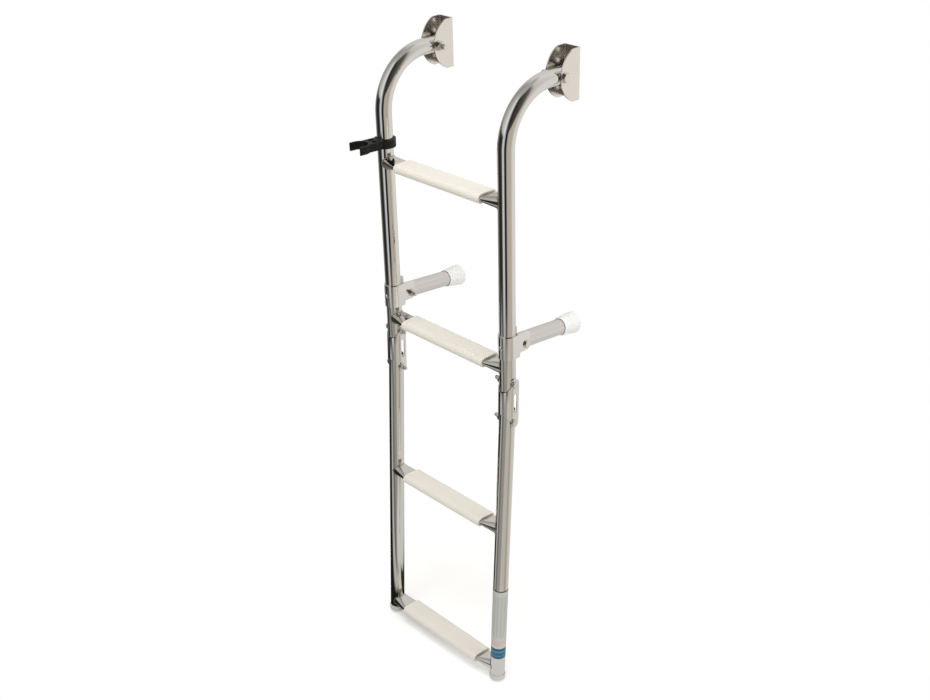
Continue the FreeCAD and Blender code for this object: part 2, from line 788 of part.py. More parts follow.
def make_clip(x):
    body = start_body("stowage_clip")
    bore = tube_radius + dim.clip_play
    jaw = tube_radius + dim.clip_jaw_play
    outer = jaw + dim.clip_wall
    seat = -dim.clip_reach
    tip = seat - dim.clip_prong
    round_off = dim.clip_tip_round
    bend = tip + round_off
    waist = dim.clip_waist / 2
    ring = new_sketch(body, "ring_plan", "XY_Plane")
    add_circle(ring, 0, 0, bore + dim.clip_ring_wall)
    pad(body, "ring", ring, dim.clip_height)
    web = new_sketch(body, "web_plan", "XY_Plane")
    add_outline(web, [(-waist, 0), (-waist, seat), (waist, seat), (waist, 0)])
    pad(body, "web", web, dim.clip_height)
    shell = new_sketch(body, "jaw_plan", "XY_Plane")
    add_outline(shell, [
        (outer, seat, (0, seat, True)),
        (-outer, seat),
        (-outer, bend, (round_off - outer, bend, True)),
        (round_off - outer, tip),
        (outer - round_off, tip, (outer - round_off, bend, True)),
        (outer, bend)])
    pad(body, "jaw_shell", shell, dim.clip_height)
    mouth = new_sketch(body, "mouth_plan", "XY_Plane")
    add_outline(mouth, [
        (-jaw - round_off, tip - PAST),
        (jaw + round_off, tip - PAST),
        (jaw + round_off, tip, (jaw + round_off, bend, False)),
        (jaw, bend),
        (jaw, seat, (0, seat, True)),
        (-jaw, seat),
        (-jaw, bend, (-jaw - round_off, bend, False)),
        (-jaw - round_off, tip)])
    pocket_through(body, "mouth_cut", mouth)
    holes = new_sketch(body, "bore_and_windows", "XY_Plane")
    add_circle(holes, 0, 0, bore)
    middle = (jaw + seat - bore) / 2
    radius = dim.clip_window_wide / 2
    ahead = middle - dim.clip_window_long / 2 + radius
    behind = middle + dim.clip_window_long / 2 - radius
    for window_x in (dim.clip_rib / 2 + radius, -dim.clip_rib / 2 - radius):
        add_outline(holes, [
            (window_x + radius, ahead),
            (window_x + radius, behind, (window_x, behind, True)),
            (window_x - radius, behind),
            (window_x - radius, ahead, (window_x, ahead, True))])
    pocket_through(body, "bore_and_windows_cut", holes)
    place(body, x, -dim.stile_reach, -dim.clip_drop, -dim.clip_turn, (0, 0, 1))


# Assembly.

for side, x, outward in SIDES:
    make_bracket(side, x)
    make_bolt_and_nut(side + "_bracket", x, -dim.bolt_setback, zero, outward,
                      channel_outer * 2, BRACKET_BOLT, dim.bolt_tail, BRACKET_NUT)
    make_upper_stile(side, x)
    make_strap(side, x)
    make_strap_screw(side, x)
    make_arm(side, x)
    make_cap(side, x)
    make_bolt_and_nut(side + "_standoff", x, arm_pivot_y, arm_pivot_z, outward,
                      strap_outer * 2, STANDOFF_BOLT, dim.small_bolt_tail, SMALL_NUT)
    make_hinge_saddle(side, x)
    make_bolt_and_nut(side + "_upper_hinge", x, -dim.stile_reach, -dim.hinge_drop, outward,
                      hinge_outer * 2, HINGE_BOLT, dim.small_bolt_tail, SMALL_NUT)
    make_bolt_and_nut(side + "_lower_hinge", x, lower_pivot_y, lower_pivot_z, outward,
                      hinge_outer * 2, HINGE_BOLT, dim.small_bolt_tail, SMALL_NUT)
    make_lower_stile(side, x)
    make_foot_cap(side, x)

for label, drop in (("top", dim.top_rung_drop), ("second", second_rung_drop)):
    make_rung(label + "_rung", -dim.stile_reach, -drop)
    make_tread_pad(label + "_tread_pad", -dim.stile_reach, -drop)
for label, drop in (("third", dim.third_rung_drop), ("bottom", dim.bottom_rung_drop)):
    rung_y, rung_z = on_lower(drop)
    make_rung(label + "_rung", rung_y, rung_z, -lean)
    make_tread_pad(label + "_tread_pad", rung_y, rung_z, -lean)
make_clip(-dim.stile_spacing)

doc.recompute()

for thing in doc.Objects:
    for word in ("Invalid", "Error"):
        if word in thing.State:
            raise RuntimeError("%s is %s" % (thing.Label, word))
for body in nodes:
    if body.Shape.isNull() or not body.Shape.isValid():
        raise RuntimeError("%s has a bad shape" % body.Label)

os.makedirs(FOLDER, exist_ok=True)
for body in nodes:
    body.Shape.exportStep(os.path.join(FOLDER, body.Label + ".step"))
print("%d pieces written" % len(nodes))
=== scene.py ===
import bpy
import bmesh
import json
import math
from mathutils import Matrix, Vector


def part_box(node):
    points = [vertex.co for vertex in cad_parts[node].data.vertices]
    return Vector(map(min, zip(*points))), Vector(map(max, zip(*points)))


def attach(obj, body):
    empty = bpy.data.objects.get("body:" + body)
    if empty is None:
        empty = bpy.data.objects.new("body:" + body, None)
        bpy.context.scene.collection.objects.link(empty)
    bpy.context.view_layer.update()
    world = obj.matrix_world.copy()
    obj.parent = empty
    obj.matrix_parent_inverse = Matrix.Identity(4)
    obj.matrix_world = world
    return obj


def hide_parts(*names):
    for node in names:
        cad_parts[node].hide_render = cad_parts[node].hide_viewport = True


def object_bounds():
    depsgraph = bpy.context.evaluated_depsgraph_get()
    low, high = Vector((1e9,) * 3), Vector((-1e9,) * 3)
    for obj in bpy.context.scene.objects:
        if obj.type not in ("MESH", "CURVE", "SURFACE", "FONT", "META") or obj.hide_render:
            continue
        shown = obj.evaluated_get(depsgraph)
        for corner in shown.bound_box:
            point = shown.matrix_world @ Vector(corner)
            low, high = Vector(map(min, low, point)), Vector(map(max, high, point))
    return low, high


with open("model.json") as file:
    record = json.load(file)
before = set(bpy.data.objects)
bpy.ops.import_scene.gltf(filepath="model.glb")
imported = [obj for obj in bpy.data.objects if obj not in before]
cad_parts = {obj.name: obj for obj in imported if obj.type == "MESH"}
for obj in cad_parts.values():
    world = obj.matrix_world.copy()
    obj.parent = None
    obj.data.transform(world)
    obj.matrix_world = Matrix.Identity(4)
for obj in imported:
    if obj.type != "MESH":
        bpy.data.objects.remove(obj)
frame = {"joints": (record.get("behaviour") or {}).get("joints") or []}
cad_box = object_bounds()


# Camera. The photograph looks down on the ladder from the climber's right, from about two
# metres away. Its place, angle and lens were worked out from the stiles' edges.

view_azimuth = math.radians(46.76)
view_elevation = math.radians(28.24)
view_roll = math.radians(-1.49)
view_distance = 1.995
view_target = Vector((-0.0939, -0.137, -0.4346))
lens_mm = 49.0
film_width_mm = 36.0

towards_camera = Vector((
    math.sin(view_azimuth) * math.cos(view_elevation),
    -math.cos(view_azimuth) * math.cos(view_elevation),
    math.sin(view_elevation)))
level_right = Vector((math.cos(view_azimuth), math.sin(view_azimuth), 0))
level_up = towards_camera.cross(level_right)
picture_right = level_right * math.cos(view_roll) + level_up * math.sin(view_roll)
picture_up = level_up * math.cos(view_roll) - level_right * math.sin(view_roll)


def new_object(name, data):
    """A new object, put in the scene."""
    thing = bpy.data.objects.new(name, data)
    bpy.context.scene.collection.objects.link(thing)
    return thing


lens = bpy.data.cameras.new("studio_camera")
lens.lens = lens_mm
lens.sensor_width = film_width_mm
camera = new_object("studio_camera", lens)
camera.matrix_world = Matrix.Translation(view_target + towards_camera * view_distance) @ Matrix(
    (picture_right, picture_up, towards_camera)).transposed().to_4x4()
bpy.context.scene.camera = camera


# Studio. A white sweep of paper under the ladder and soft lamps above it. The world holds a
# painted reflection of a dim room, seen only by mirror rays as dark and warm bands on the steel.

bpy.context.scene.view_settings.view_transform = "Standard"


def linear(hex_colour):
    """The linear colour of an sRGB hex value."""
    channels = [int(hex_colour[start:start + 2], 16) / 255 for start in (1, 3, 5)]
    return [c / 12.92 if c <= 0.04045 else ((c + 0.055) / 1.055) ** 2.4 for c in channels] + [1]


def add_node(tree, kind, settings, inputs):
    """Add a node, set its settings, and set or link its inputs.

    A Mix node takes its two colours at 6 and 7.
    """
    node = tree.nodes.new(kind)
    for word, value in settings.items():
        setattr(node, word, value)
    for word, value in inputs.items():
        if isinstance(value, bpy.types.NodeSocket):
            tree.links.new(value, node.inputs[word])
        else:
            node.inputs[word].default_value = value
    return node


def set_stops(ramp_node, stops, interpolation="LINEAR"):
    """Give a colour ramp its stops, as (place, hex colour)."""
    ramp = ramp_node.color_ramp
    ramp.interpolation = interpolation
    while len(ramp.elements) < len(stops):
        ramp.elements.new(1)
    for element, (at, hex_colour) in zip(ramp.elements, stops):
        element.position = at
        element.color = linear(hex_colour)


def compass_ramp(tree, axes, bands):
    """Colours by the compass angle of a direction, in degrees from +X."""
    angle = add_node(tree, "ShaderNodeMath", {"operation": "ARCTAN2"}, {
        0: axes.outputs["Y"], 1: axes.outputs["X"]})
    way_round = add_node(tree, "ShaderNodeMapRange", {}, {
        "Value": angle.outputs[0], "From Min": -math.pi, "From Max": math.pi})
    ramp_node = add_node(tree, "ShaderNodeValToRGB", {}, {"Fac": way_round.outputs[0]})
    set_stops(ramp_node, [((degrees + 180) / 360, colour) for degrees, colour in bands])
    return ramp_node


# Painted reflection of a dim room by compass angle, as the metal mirrors it up to eye level.
painted_reflection_bands = [
    (-180, "#a4a29e"), (-168, "#74736f"), (-150, "#40403c"), (-130, "#1e1e1c"),
    (-103, "#454542"), (-90, "#dbdfe2"), (-75, "#dbdfe2"), (-65, "#232321"),
    (-46, "#22221f"), (-36, "#c2bbae"), (-10, "#c9c1b4"), (20, "#cbc3b6"), (36, "#efedea"),
    (80, "#f2f1ef"), (110, "#dddcd9"), (150, "#bcbab6"), (180, "#a4a29e")]
# The same painted reflection above eye level, which the bends of the hooks mirror.
painted_upper_reflection_bands = [
    (-180, "#a5a39f"), (-150, "#bdbbb8"), (-112, "#dcdee0"), (-88, "#fbfcfc"),
    (-76, "#b4b7b8"), (-65, "#4d4d4b"), (-50, "#2a2a28"), (-36, "#3a3a37"), (-8, "#504f4a"),
    (9, "#6d6b65"), (23, "#d8d5cf"), (60, "#f0eeeb"), (150, "#e0dedb"), (165, "#aeaca9"),
    (180, "#a5a39f")]
# Where the bands change over, as the upward part of the direction: 0 is level, 1 straight up.
eye_level_start, eye_level_end = 0.08, 0.22
painted_ceiling_start, painted_ceiling_end = 0.88, 0.98
room_fill = 0.55
soft_change = {"interpolation_type": "SMOOTHSTEP"}

world = bpy.data.worlds.new("studio_world_painted_reflection")
world.use_nodes = True
bpy.context.scene.world = world
room = world.node_tree
room.nodes.clear()
direction = add_node(room, "ShaderNodeTexCoord", {}, {})
split = add_node(room, "ShaderNodeSeparateXYZ", {}, {"Vector": direction.outputs["Generated"]})
painted_reflection_ramp = compass_ramp(room, split, painted_reflection_bands)
painted_upper_reflection_ramp = compass_ramp(room, split, painted_upper_reflection_bands)
eye_level = add_node(room, "ShaderNodeMapRange", soft_change, {
    "Value": split.outputs["Z"], "From Min": eye_level_start, "From Max": eye_level_end})
painted_reflection_by_height = add_node(room, "ShaderNodeMix", {"data_type": "RGBA"}, {
    "Factor": eye_level.outputs[0], 6: painted_reflection_ramp.outputs[0], 7: painted_upper_reflection_ramp.outputs[0]})
painted_ceiling_mask = add_node(room, "ShaderNodeMapRange", soft_change, {
    "Value": split.outputs["Z"], "From Min": painted_ceiling_start, "From Max": painted_ceiling_end})
painted_reflection_colour = add_node(room, "ShaderNodeMix", {"data_type": "RGBA"}, {
    "Factor": painted_ceiling_mask.outputs[0], 6: painted_reflection_by_height.outputs[2], 7: linear("#b6b5b2")})
paths = add_node(room, "ShaderNodeLightPath", {}, {})
painted_room_reflection = add_node(room, "ShaderNodeBackground", {}, {
    "Color": painted_reflection_colour.outputs[2], "Strength": 1.0})
soft_fill = add_node(room, "ShaderNodeBackground", {}, {
    "Color": linear("#fbfaf8"), "Strength": room_fill})
white_backdrop = add_node(room, "ShaderNodeBackground", {}, {
    "Color": (1, 1, 1, 1), "Strength": 1.0})
# Mirror rays see the painted reflection bands; other rays see only the plain soft fill.
fill_or_painted_reflection = add_node(room, "ShaderNodeMixShader", {}, {
    "Fac": paths.outputs["Is Glossy Ray"], 1: soft_fill.outputs[0], 2: painted_room_reflection.outputs[0]})
seen_world = add_node(room, "ShaderNodeMixShader", {}, {
    "Fac": paths.outputs["Is Camera Ray"], 1: fill_or_painted_reflection.outputs[0],
    2: white_backdrop.outputs[0]})
add_node(room, "ShaderNodeOutputWorld", {}, {"Surface": seen_world.outputs[0]})


def add_lamp(name, place, size, watts):
    """A square soft lamp, its place and size in metres, that faces the ladder's middle."""
    lamp = bpy.data.lights.new(name, "AREA")
    lamp.size = size
    lamp.energy = watts
    holder = new_object(name, lamp)
    holder.location = place
    holder.rotation_euler = (view_target - holder.location).to_track_quat("-Z", "Y").to_euler()
    holder.visible_glossy = False


add_lamp("overhead_softbox", Vector((0.3, -0.9, 1.9)), size=1.6, watts=34)
add_lamp("side_softbox", Vector((2.2, 0.2, 0.5)), size=1.2, watts=14)

# Painted reflection of the sweep and of dark cards that are not in the scene, by compass angle.
painted_sweep_reflection_bands = [
    (-180, "#1f1f1d"), (-143, "#1d1d1c"), (-134, "#c4c2be"), (-122, "#c9c7c3"),
    (-110, "#75736d"), (-97, "#7d7b76"), (-84, "#a2a29f"), (-58, "#a09f9a"),
    (-46, "#d2cbc0"), (-8, "#cfc7bb"), (6, "#aea89d"), (22, "#cfccc7"), (34, "#dedbd6"),
    (60, "#e4e2df"), (120, "#dad8d5"), (136, "#c4c2be"), (144, "#3a3a38"), (180, "#1f1f1d")]
floor_drop = 0.004
floor_half = 6.0
# A paler spot of painted reflection before the right foot, and how it fades.
painted_spot_x, painted_spot_y = 0.05, -0.24
painted_spot_start, painted_spot_end = 0.12, 0.24
# Past these distances the metal mirrors the world's painted bands, not the painted sweep.
painted_sweep_start, painted_sweep_end = 1.0, 1.6
# Between these distances the shadow that the camera sees fades into plain white.
shadow_start, shadow_end = 0.25, 0.8
sheet_glow = 0.3
floor_mesh = bpy.data.meshes.new("paper_floor")
floor_z = cad_box[0][2] - floor_drop
floor_mesh.from_pydata(
    [(x, y, floor_z) for x, y in ((-floor_half, -floor_half), (floor_half, -floor_half),
                                  (floor_half, floor_half), (-floor_half, floor_half))],
    [], [(0, 1, 2, 3)])
floor = new_object("paper_floor", floor_mesh)


def new_material(name):
    """A material with an empty node tree, and that tree."""
    material = bpy.data.materials.new(name)
    material.use_nodes = True
    material.node_tree.nodes.clear()
    return material, material.node_tree


paper, paper_tree = new_material("matt_white_paper_painted_reflection")
paper_paths = add_node(paper_tree, "ShaderNodeLightPath", {}, {})
paper_place = add_node(paper_tree, "ShaderNodeNewGeometry", {}, {})
from_ladder = add_node(paper_tree, "ShaderNodeVectorMath", {"operation": "SUBTRACT"}, {
    0: paper_place.outputs["Position"], 1: (view_target.x, view_target.y, floor_z)})
paper_axes = add_node(paper_tree, "ShaderNodeSeparateXYZ", {}, {
    "Vector": from_ladder.outputs[0]})
distance = add_node(paper_tree, "ShaderNodeVectorMath", {"operation": "LENGTH"}, {
    0: from_ladder.outputs[0]})
# The sweep ramp is a painted reflection of the sweep and of cards that are not there; only mirror
# rays see it.
sweep = compass_ramp(paper_tree, paper_axes, painted_sweep_reflection_bands)
# Near the right foot the painted reflection turns to a paler painted spot, for mirror rays only.
from_painted_spot = add_node(paper_tree, "ShaderNodeVectorMath", {"operation": "DISTANCE"}, {
    0: paper_place.outputs["Position"], 1: (painted_spot_x, painted_spot_y, floor_z)})
off_painted_spot = add_node(paper_tree, "ShaderNodeMapRange", soft_change, {
    "Value": from_painted_spot.outputs["Value"], "From Min": painted_spot_start, "From Max": painted_spot_end})
painted_spot_and_sweep = add_node(paper_tree, "ShaderNodeMix", {"data_type": "RGBA"}, {
    "Factor": off_painted_spot.outputs[0], 6: linear("#e2e1df"), 7: sweep.outputs[0]})
painted_sweep_reflection = add_node(paper_tree, "ShaderNodeEmission", {}, {
    "Color": painted_spot_and_sweep.outputs[2], "Strength": 1.0})
clear = add_node(paper_tree, "ShaderNodeBsdfTransparent", {}, {})
off_painted_sweep = add_node(paper_tree, "ShaderNodeMapRange", soft_change, {
    "Value": distance.outputs["Value"], "From Min": painted_sweep_start, "From Max": painted_sweep_end})
painted_floor_reflection_or_clear = add_node(paper_tree, "ShaderNodeMixShader", {}, {
    "Fac": off_painted_sweep.outputs[0], 1: painted_sweep_reflection.outputs[0], 2: clear.outputs[0]})
sheet_white = add_node(paper_tree, "ShaderNodeBsdfDiffuse", {}, {"Color": linear("#f4f3f1")})
backdrop_white = add_node(paper_tree, "ShaderNodeEmission", {}, {
    "Color": (1, 1, 1, 1), "Strength": sheet_glow})
lit_sheet = add_node(paper_tree, "ShaderNodeAddShader", {}, {
    0: sheet_white.outputs[0], 1: backdrop_white.outputs[0]})
pure_white = add_node(paper_tree, "ShaderNodeEmission", {}, {
    "Color": (1, 1, 1, 1), "Strength": 1.0})
off_shadow = add_node(paper_tree, "ShaderNodeMapRange", soft_change, {
    "Value": distance.outputs["Value"], "From Min": shadow_start, "From Max": shadow_end})
seen_sheet = add_node(paper_tree, "ShaderNodeMixShader", {}, {
    "Fac": off_shadow.outputs[0], 1: lit_sheet.outputs[0], 2: pure_white.outputs[0]})
seen_or_light = add_node(paper_tree, "ShaderNodeMixShader", {}, {
    "Fac": paper_paths.outputs["Is Camera Ray"], 1: sheet_white.outputs[0],
    2: seen_sheet.outputs[0]})
# Mirror rays see the painted reflection of the sweep; other rays see the plain paper.
paper_for_all = add_node(paper_tree, "ShaderNodeMixShader", {}, {
    "Fac": paper_paths.outputs["Is Glossy Ray"], 1: seen_or_light.outputs[0],
    2: painted_floor_reflection_or_clear.outputs[0]})
add_node(paper_tree, "ShaderNodeOutputMaterial", {}, {"Surface": paper_for_all.outputs[0]})
floor_mesh.materials.append(paper)


# Stiles of the upper section. One-inch stainless tube, bent over at the top into the hook
# that enters the bracket, then polished with a belt along its length.

crease_degrees = 32
weld_distance = 1e-6
line_spacing = 0.0006
line_depth = 0.00002
ripples_per_metre = 28.0
ripple_depth = 0.0002


def add_piece(name, mesh, material, body, node):
    """Put a finished mesh in the scene in place of a node, riding on a body."""
    piece = new_object(name, mesh)
    mesh.materials.append(material)
    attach(piece, body)
    if node:
        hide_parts(node)
    return piece


def smooth_mesh(name, shape):
    """A mesh from a bmesh, smooth but for its sharp edges."""
    bmesh.ops.remove_doubles(shape, verts=shape.verts, dist=weld_distance)
    bmesh.ops.recalc_face_normals(shape, faces=shape.faces)
    for face in shape.faces:
        face.smooth = True
    for edge in shape.edges:
        edge.smooth = len(edge.link_faces) == 2 and (
            edge.calc_face_angle() < math.radians(crease_degrees))
    mesh = bpy.data.meshes.new(name)
    shape.to_mesh(mesh)
    shape.free()
    return mesh


def skin(name, rings, closed=False, capped=False):
    """A mesh skinned over rings of points, in order."""
    shape = bmesh.new()
    loops = [[shape.verts.new(point) for point in ring] for ring in rings]
    pairs = list(zip(loops, loops[1:]))
    if closed:
        pairs.append((loops[-1], loops[0]))
    for first, second in pairs:
        for index in range(len(first)):
            following = (index + 1) % len(first)
            shape.faces.new((first[index], first[following], second[following], second[index]))
    if capped:
        shape.faces.new(loops[0])
        shape.faces.new(loops[-1])
    return smooth_mesh(name, shape)


def circle(radius, around=64):
    """Points of a circle, as pairs."""
    return [(radius * math.cos(2 * math.pi * index / around),
             radius * math.sin(2 * math.pi * index / around)) for index in range(around)]


def tube_rings(stations, radius, wall, lip=0.0004):
    """Rings over a tube's outside, round its end lip and back along its bore.

    A station is (centre, side, up): the section lies in the plane of side and up.
    """
    def ring(station, ring_radius, shift=0.0):
        centre, side, up = station
        ahead = side.cross(up)
        return [centre + ahead * shift + side * u + up * v for u, v in circle(ring_radius)]

    first, last = stations[0], stations[-1]
    rings = [ring(first, radius - lip)]
    rings += [ring(first, radius, lip)]
    rings += [ring(station, radius) for station in stations[1:-1]]
    rings += [ring(last, radius, -lip), ring(last, radius - lip)]
    rings += [ring(last, radius - wall)]
    rings += [ring(station, radius - wall) for station in reversed(stations[1:-1])]
    rings += [ring(first, radius - wall)]
    return rings


def polished_stainless(name, tone, roughness, grain_scale):
    """Polished stainless: a mirror with a slow ripple and the faint lines of the belt.

    grain_scale stretches the lines: small numbers along the belt's run, large ones across it.
    """
    material, tree = new_material(name)
    place = add_node(tree, "ShaderNodeTexCoord", {}, {})
    run = add_node(tree, "ShaderNodeMapping", {}, {
        "Vector": place.outputs["Object"], "Scale": grain_scale})
    lines = add_node(tree, "ShaderNodeTexNoise", {}, {
        "Vector": run.outputs[0], "Scale": 1.0, "Detail": 3.0, "Roughness": 0.6})
    shine = add_node(tree, "ShaderNodeMapRange", {}, {
        "Value": lines.outputs["Fac"], "To Min": roughness * 0.6, "To Max": roughness * 1.5})
    waves = add_node(tree, "ShaderNodeTexNoise", {}, {
        "Vector": place.outputs["Object"], "Scale": ripples_per_metre, "Detail": 1.0})
    ripple = add_node(tree, "ShaderNodeBump", {}, {
        "Height": waves.outputs["Fac"], "Strength": 0.35, "Distance": ripple_depth})
    grain = add_node(tree, "ShaderNodeBump", {}, {
        "Height": lines.outputs["Fac"], "Strength": 0.2, "Distance": line_depth,
        "Normal": ripple.outputs[0]})
    steel = add_node(tree, "ShaderNodeBsdfPrincipled", {}, {
        "Base Color": linear(tone), "Metallic": 1.0, "Roughness": shine.outputs[0],
        "Normal": grain.outputs[0]})
    add_node(tree, "ShaderNodeOutputMaterial", {}, {"Surface": steel.outputs[0]})
    return material


across_line = 1 / line_spacing
along_line = 0.01 / line_spacing
stile_steel = polished_stainless("belt_polished_stile_steel", "#dedcd8", 0.07,
                                 (across_line, across_line, along_line))
tube_wall = 0.0012
hook_bend = 0.085
bend_steps = 28
straight_steps = 6
across = Vector((1, 0, 0))
for side in ("right", "left"):
    low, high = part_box(side + "_upper_stile")
    tube_radius = (high.x - low.x) / 2
    middle_x = (high.x + low.x) / 2
    stile_y = low.y + tube_radius
    hook_z = high.z - tube_radius
    stations = []
    for step in range(straight_steps):
        z = low.z + (hook_z - hook_bend - low.z) * step / straight_steps
        stations.append((Vector((middle_x, stile_y, z)), across, Vector((0, 1, 0))))
    for step in range(bend_steps + 1):
        turn = math.pi / 2 * step / bend_steps
        outward = Vector((0, -math.cos(turn), math.sin(turn)))
        centre = Vector((middle_x, stile_y + hook_bend, hook_z - hook_bend)) + outward * hook_bend
        stations.append((centre, across, -outward))
    stations.append((Vector((middle_x, high.y, hook_z)), across, Vector((0, 0, -1))))
    add_piece(side + "_stile_tube", skin(side + "_stile_tube", tube_rings(
        stations, tube_radius, tube_wall), closed=True), stile_steel,
        "upper_section", side + "_upper_stile")


# Brackets. Each is a channel folded from 2 mm stainless sheet and tumbled bright, with
# rounded cheeks. Four holes in its back take the screws that hold it to the hull.

past = 0.002
sheet_edge = 0.0003
bevel_from_degrees = 40
flat_weight = 90
join_distance = 0.000002


def round_corners(corners, steps=6):
    """Points of an outline whose corners, as (u, v, radius), are rounded off."""
    points = []
    for index, (u, v, radius) in enumerate(corners):
        corner = Vector((u, v))
        if not radius:
            points.append(corner)
            continue
        before = (Vector(corners[index - 1][:2]) - corner).normalized()
        after = (Vector(corners[(index + 1) % len(corners)][:2]) - corner).normalized()
        half_angle = before.angle(after) / 2
        centre = corner + (before + after).normalized() * radius / math.sin(half_angle)
        start = corner + before * radius / math.tan(half_angle) - centre
        end = corner + after * radius / math.tan(half_angle) - centre
        sweep = start.angle_signed(end)
        for step in range(steps + 1):
            spoke = start.copy()
            spoke.rotate(Matrix.Rotation(-sweep * step / steps, 2))
            points.append(centre + spoke)
    return points


def arc(centre_u, centre_v, radius, first, last, steps=16):
    """Points of an arc between two angles in degrees."""
    angles = [math.radians(first + (last - first) * step / steps) for step in range(steps + 1)]
    return [Vector((centre_u + radius * math.cos(a), centre_v + radius * math.sin(a)))
            for a in angles]


def sharp(points):
    """The points as corners that stay sharp."""
    return [(u, v, 0) for u, v in points]


def prism(outline, low, high, along):
    """A solid over an outline, from low to high along X, Y or Z.

    The outline lies in YZ, XZ or XY.
    """
    def put(u, v, w):
        return {"X": (w, u, v), "Y": (u, w, v), "Z": (u, v, w)}[along]

    shape = bmesh.new()
    ends = [[shape.verts.new(put(u, v, w)) for u, v in outline] for w in (low, high)]
    for end in ends:
        shape.faces.new(end)
    for index in range(len(outline)):
        following = (index + 1) % len(outline)
        shape.faces.new((ends[0][index], ends[0][following],
                         ends[1][following], ends[1][index]))
    return smooth_mesh("prism", shape)


def rod(radius, low, high):
    """Profile of a plain round solid, as (radius, height) points."""
    return [(0, low), (radius, low), (radius, high), (0, high)]


def turned(profile, around=48, along="Z"):
    """A solid turned about an axis from (radius, height) points."""
    rings = []
    for radius, height in profile:
        ring = []
        for u, v in circle(radius, around):
            ring.append({"X": (height, u, v), "Y": (u, height, v), "Z": (u, v, height)}[along])
        rings.append(ring)
    return skin("turned", rings, closed=profile[0][0] > 0)


def carve(name, blank, tools, edge, segments=2):
    """Cut a blank with other solids, break its edges, and keep its flats flat."""
    worker = new_object(name, blank)
    cutters = []
    for operation, tool in tools:
        cutter = new_object("cutter", tool)
        cutters.append(cutter)
        cut = worker.modifiers.new("cut", "BOOLEAN")
        cut.operation = operation
        cut.solver = "EXACT"
        cut.object = cutter
    worker.modifiers.new("joined_cuts", "WELD").merge_threshold = join_distance
    broken = worker.modifiers.new("broken_edges", "BEVEL")
    broken.width = edge
    broken.segments = segments
    broken.limit_method = "ANGLE"
    broken.angle_limit = math.radians(bevel_from_degrees)
    worker.modifiers.new("joined_edges", "WELD").merge_threshold = join_distance
    worker.modifiers.new("flat_flats", "WEIGHTED_NORMAL").weight = flat_weight
    for polygon in blank.polygons:
        polygon.use_smooth = True
    drawn = worker.evaluated_get(bpy.context.evaluated_depsgraph_get())
    mesh = bpy.data.meshes.new_from_object(drawn)
    mesh.name = name
    for spent in [worker] + cutters:
        bpy.data.objects.remove(spent)
    return mesh


def placed(mesh, matrix):
    """The mesh moved to its place."""
    mesh.transform(matrix)
    return mesh


def pin(radius, low, high, along, place):
    """A round solid along X, Y or Z that goes through a place, to cut a hole or a bore."""
    return placed(turned(rod(radius, low, high), along=along), Matrix.Translation(place))


# Tumbling leaves a fine grain without a direction, drawn about 17 mm coarse so that it shows.
tumbled = (60, 60, 60)
bracket_steel = polished_stainless("bright_bracket_steel", "#e9e4dd", 0.22, tumbled)
bracket_sheet = 0.002
bracket_bend = 0.003
bracket_flat = 0.016
hull_hole = 0.0033
hull_hole_heights = (-0.028, -0.012, 0.012, 0.028)
for side in ("right", "left"):
    low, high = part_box(side + "_bracket")
    half_wide = (high.x - low.x) / 2
    half_tall = (high.z - low.z) / 2
    deep = high.y - low.y
    inside = half_wide - bracket_sheet
    channel = round_corners([
        (-half_wide, -deep - past, 0), (-inside, -deep - past, 0),
        (-inside, -bracket_sheet, bracket_bend - bracket_sheet),
        (inside, -bracket_sheet, bracket_bend - bracket_sheet),
        (inside, -deep - past, 0), (half_wide, -deep - past, 0),
        (half_wide, 0, bracket_bend), (-half_wide, 0, bracket_bend)])
    nose_centre = (bracket_flat ** 2 + half_tall ** 2 - deep ** 2) / (2 * (deep - bracket_flat))
    nose_angle = math.degrees(math.atan2(half_tall, bracket_flat + nose_centre))
    cheek = [Vector((past, -half_tall)), Vector((past, half_tall))] + arc(
        nose_centre, 0, deep + nose_centre, 180 - nose_angle, 180 + nose_angle, steps=32)
    holes = [("DIFFERENCE", pin(hull_hole, -past * 2, past, "Y", (0, 0, height)))
             for height in hull_hole_heights]
    bracket = carve(side + "_folded_bracket", prism(channel, -half_tall - past,
                                                    half_tall + past, "Z"),
                    [("INTERSECT", prism(cheek, -half_wide - past, half_wide + past, "X"))]
                    + holes, sheet_edge)
    add_piece(side + "_folded_bracket",
              placed(bracket, Matrix.Translation(((low.x + high.x) / 2, high.y,
                                                  (low.z + high.z) / 2))),
              bracket_steel, "brackets", side + "_bracket")


# Bolts and lock nuts. Stainless hexagon bolts with their heads outside the ladder, and inside
# it a hexagon nut with a round collar, past which the rolled thread shows.

rolled = (90, 90, 90)
fastener_steel = polished_stainless("rolled_fastener_steel", "#e4dfd8", 0.17, rolled)
fastener_edge = 0.0001
thread_long = 0.011
thread_depth = 0.00022
end_chamfer = 0.0006
end_taper = 0.0007
washer_thickness = 0.001
collar_play = 0.0004
# Shares of half the width across the flats.
washer_share, face_share, collar_share = 1.35, 0.94, 0.88
chamfer_slope = math.tan(math.radians(30))


def hexagon(flats, low, high, chamfered):
    """A hexagon along X, its corners turned off towards the ends named in chamfered.

    flats is half the width across the flats.
    """
    corner = flats / math.cos(math.pi / 6)
    outline = [Vector((corner * math.cos(k * math.pi / 3), corner * math.sin(k * math.pi / 3)))
               for k in range(6)]
    face = flats * face_share
    slope = (corner - face) * chamfer_slope
    profile = [(0, low)]
    profile += [(face, low), (corner, low + slope)] if "low" in chamfered else [(corner, low)]
    profile += [(corner, high - slope), (face, high)] if "high" in chamfered else [(corner, high)]
    return (prism(outline, low, high, "X"),
            ("INTERSECT", turned(profile + [(0, high)], along="X")))


def washer(flats, low, high):
    """The plain washer under a head or a nut, as a disc along X."""
    return turned(rod(flats * washer_share, low, high), along="X")


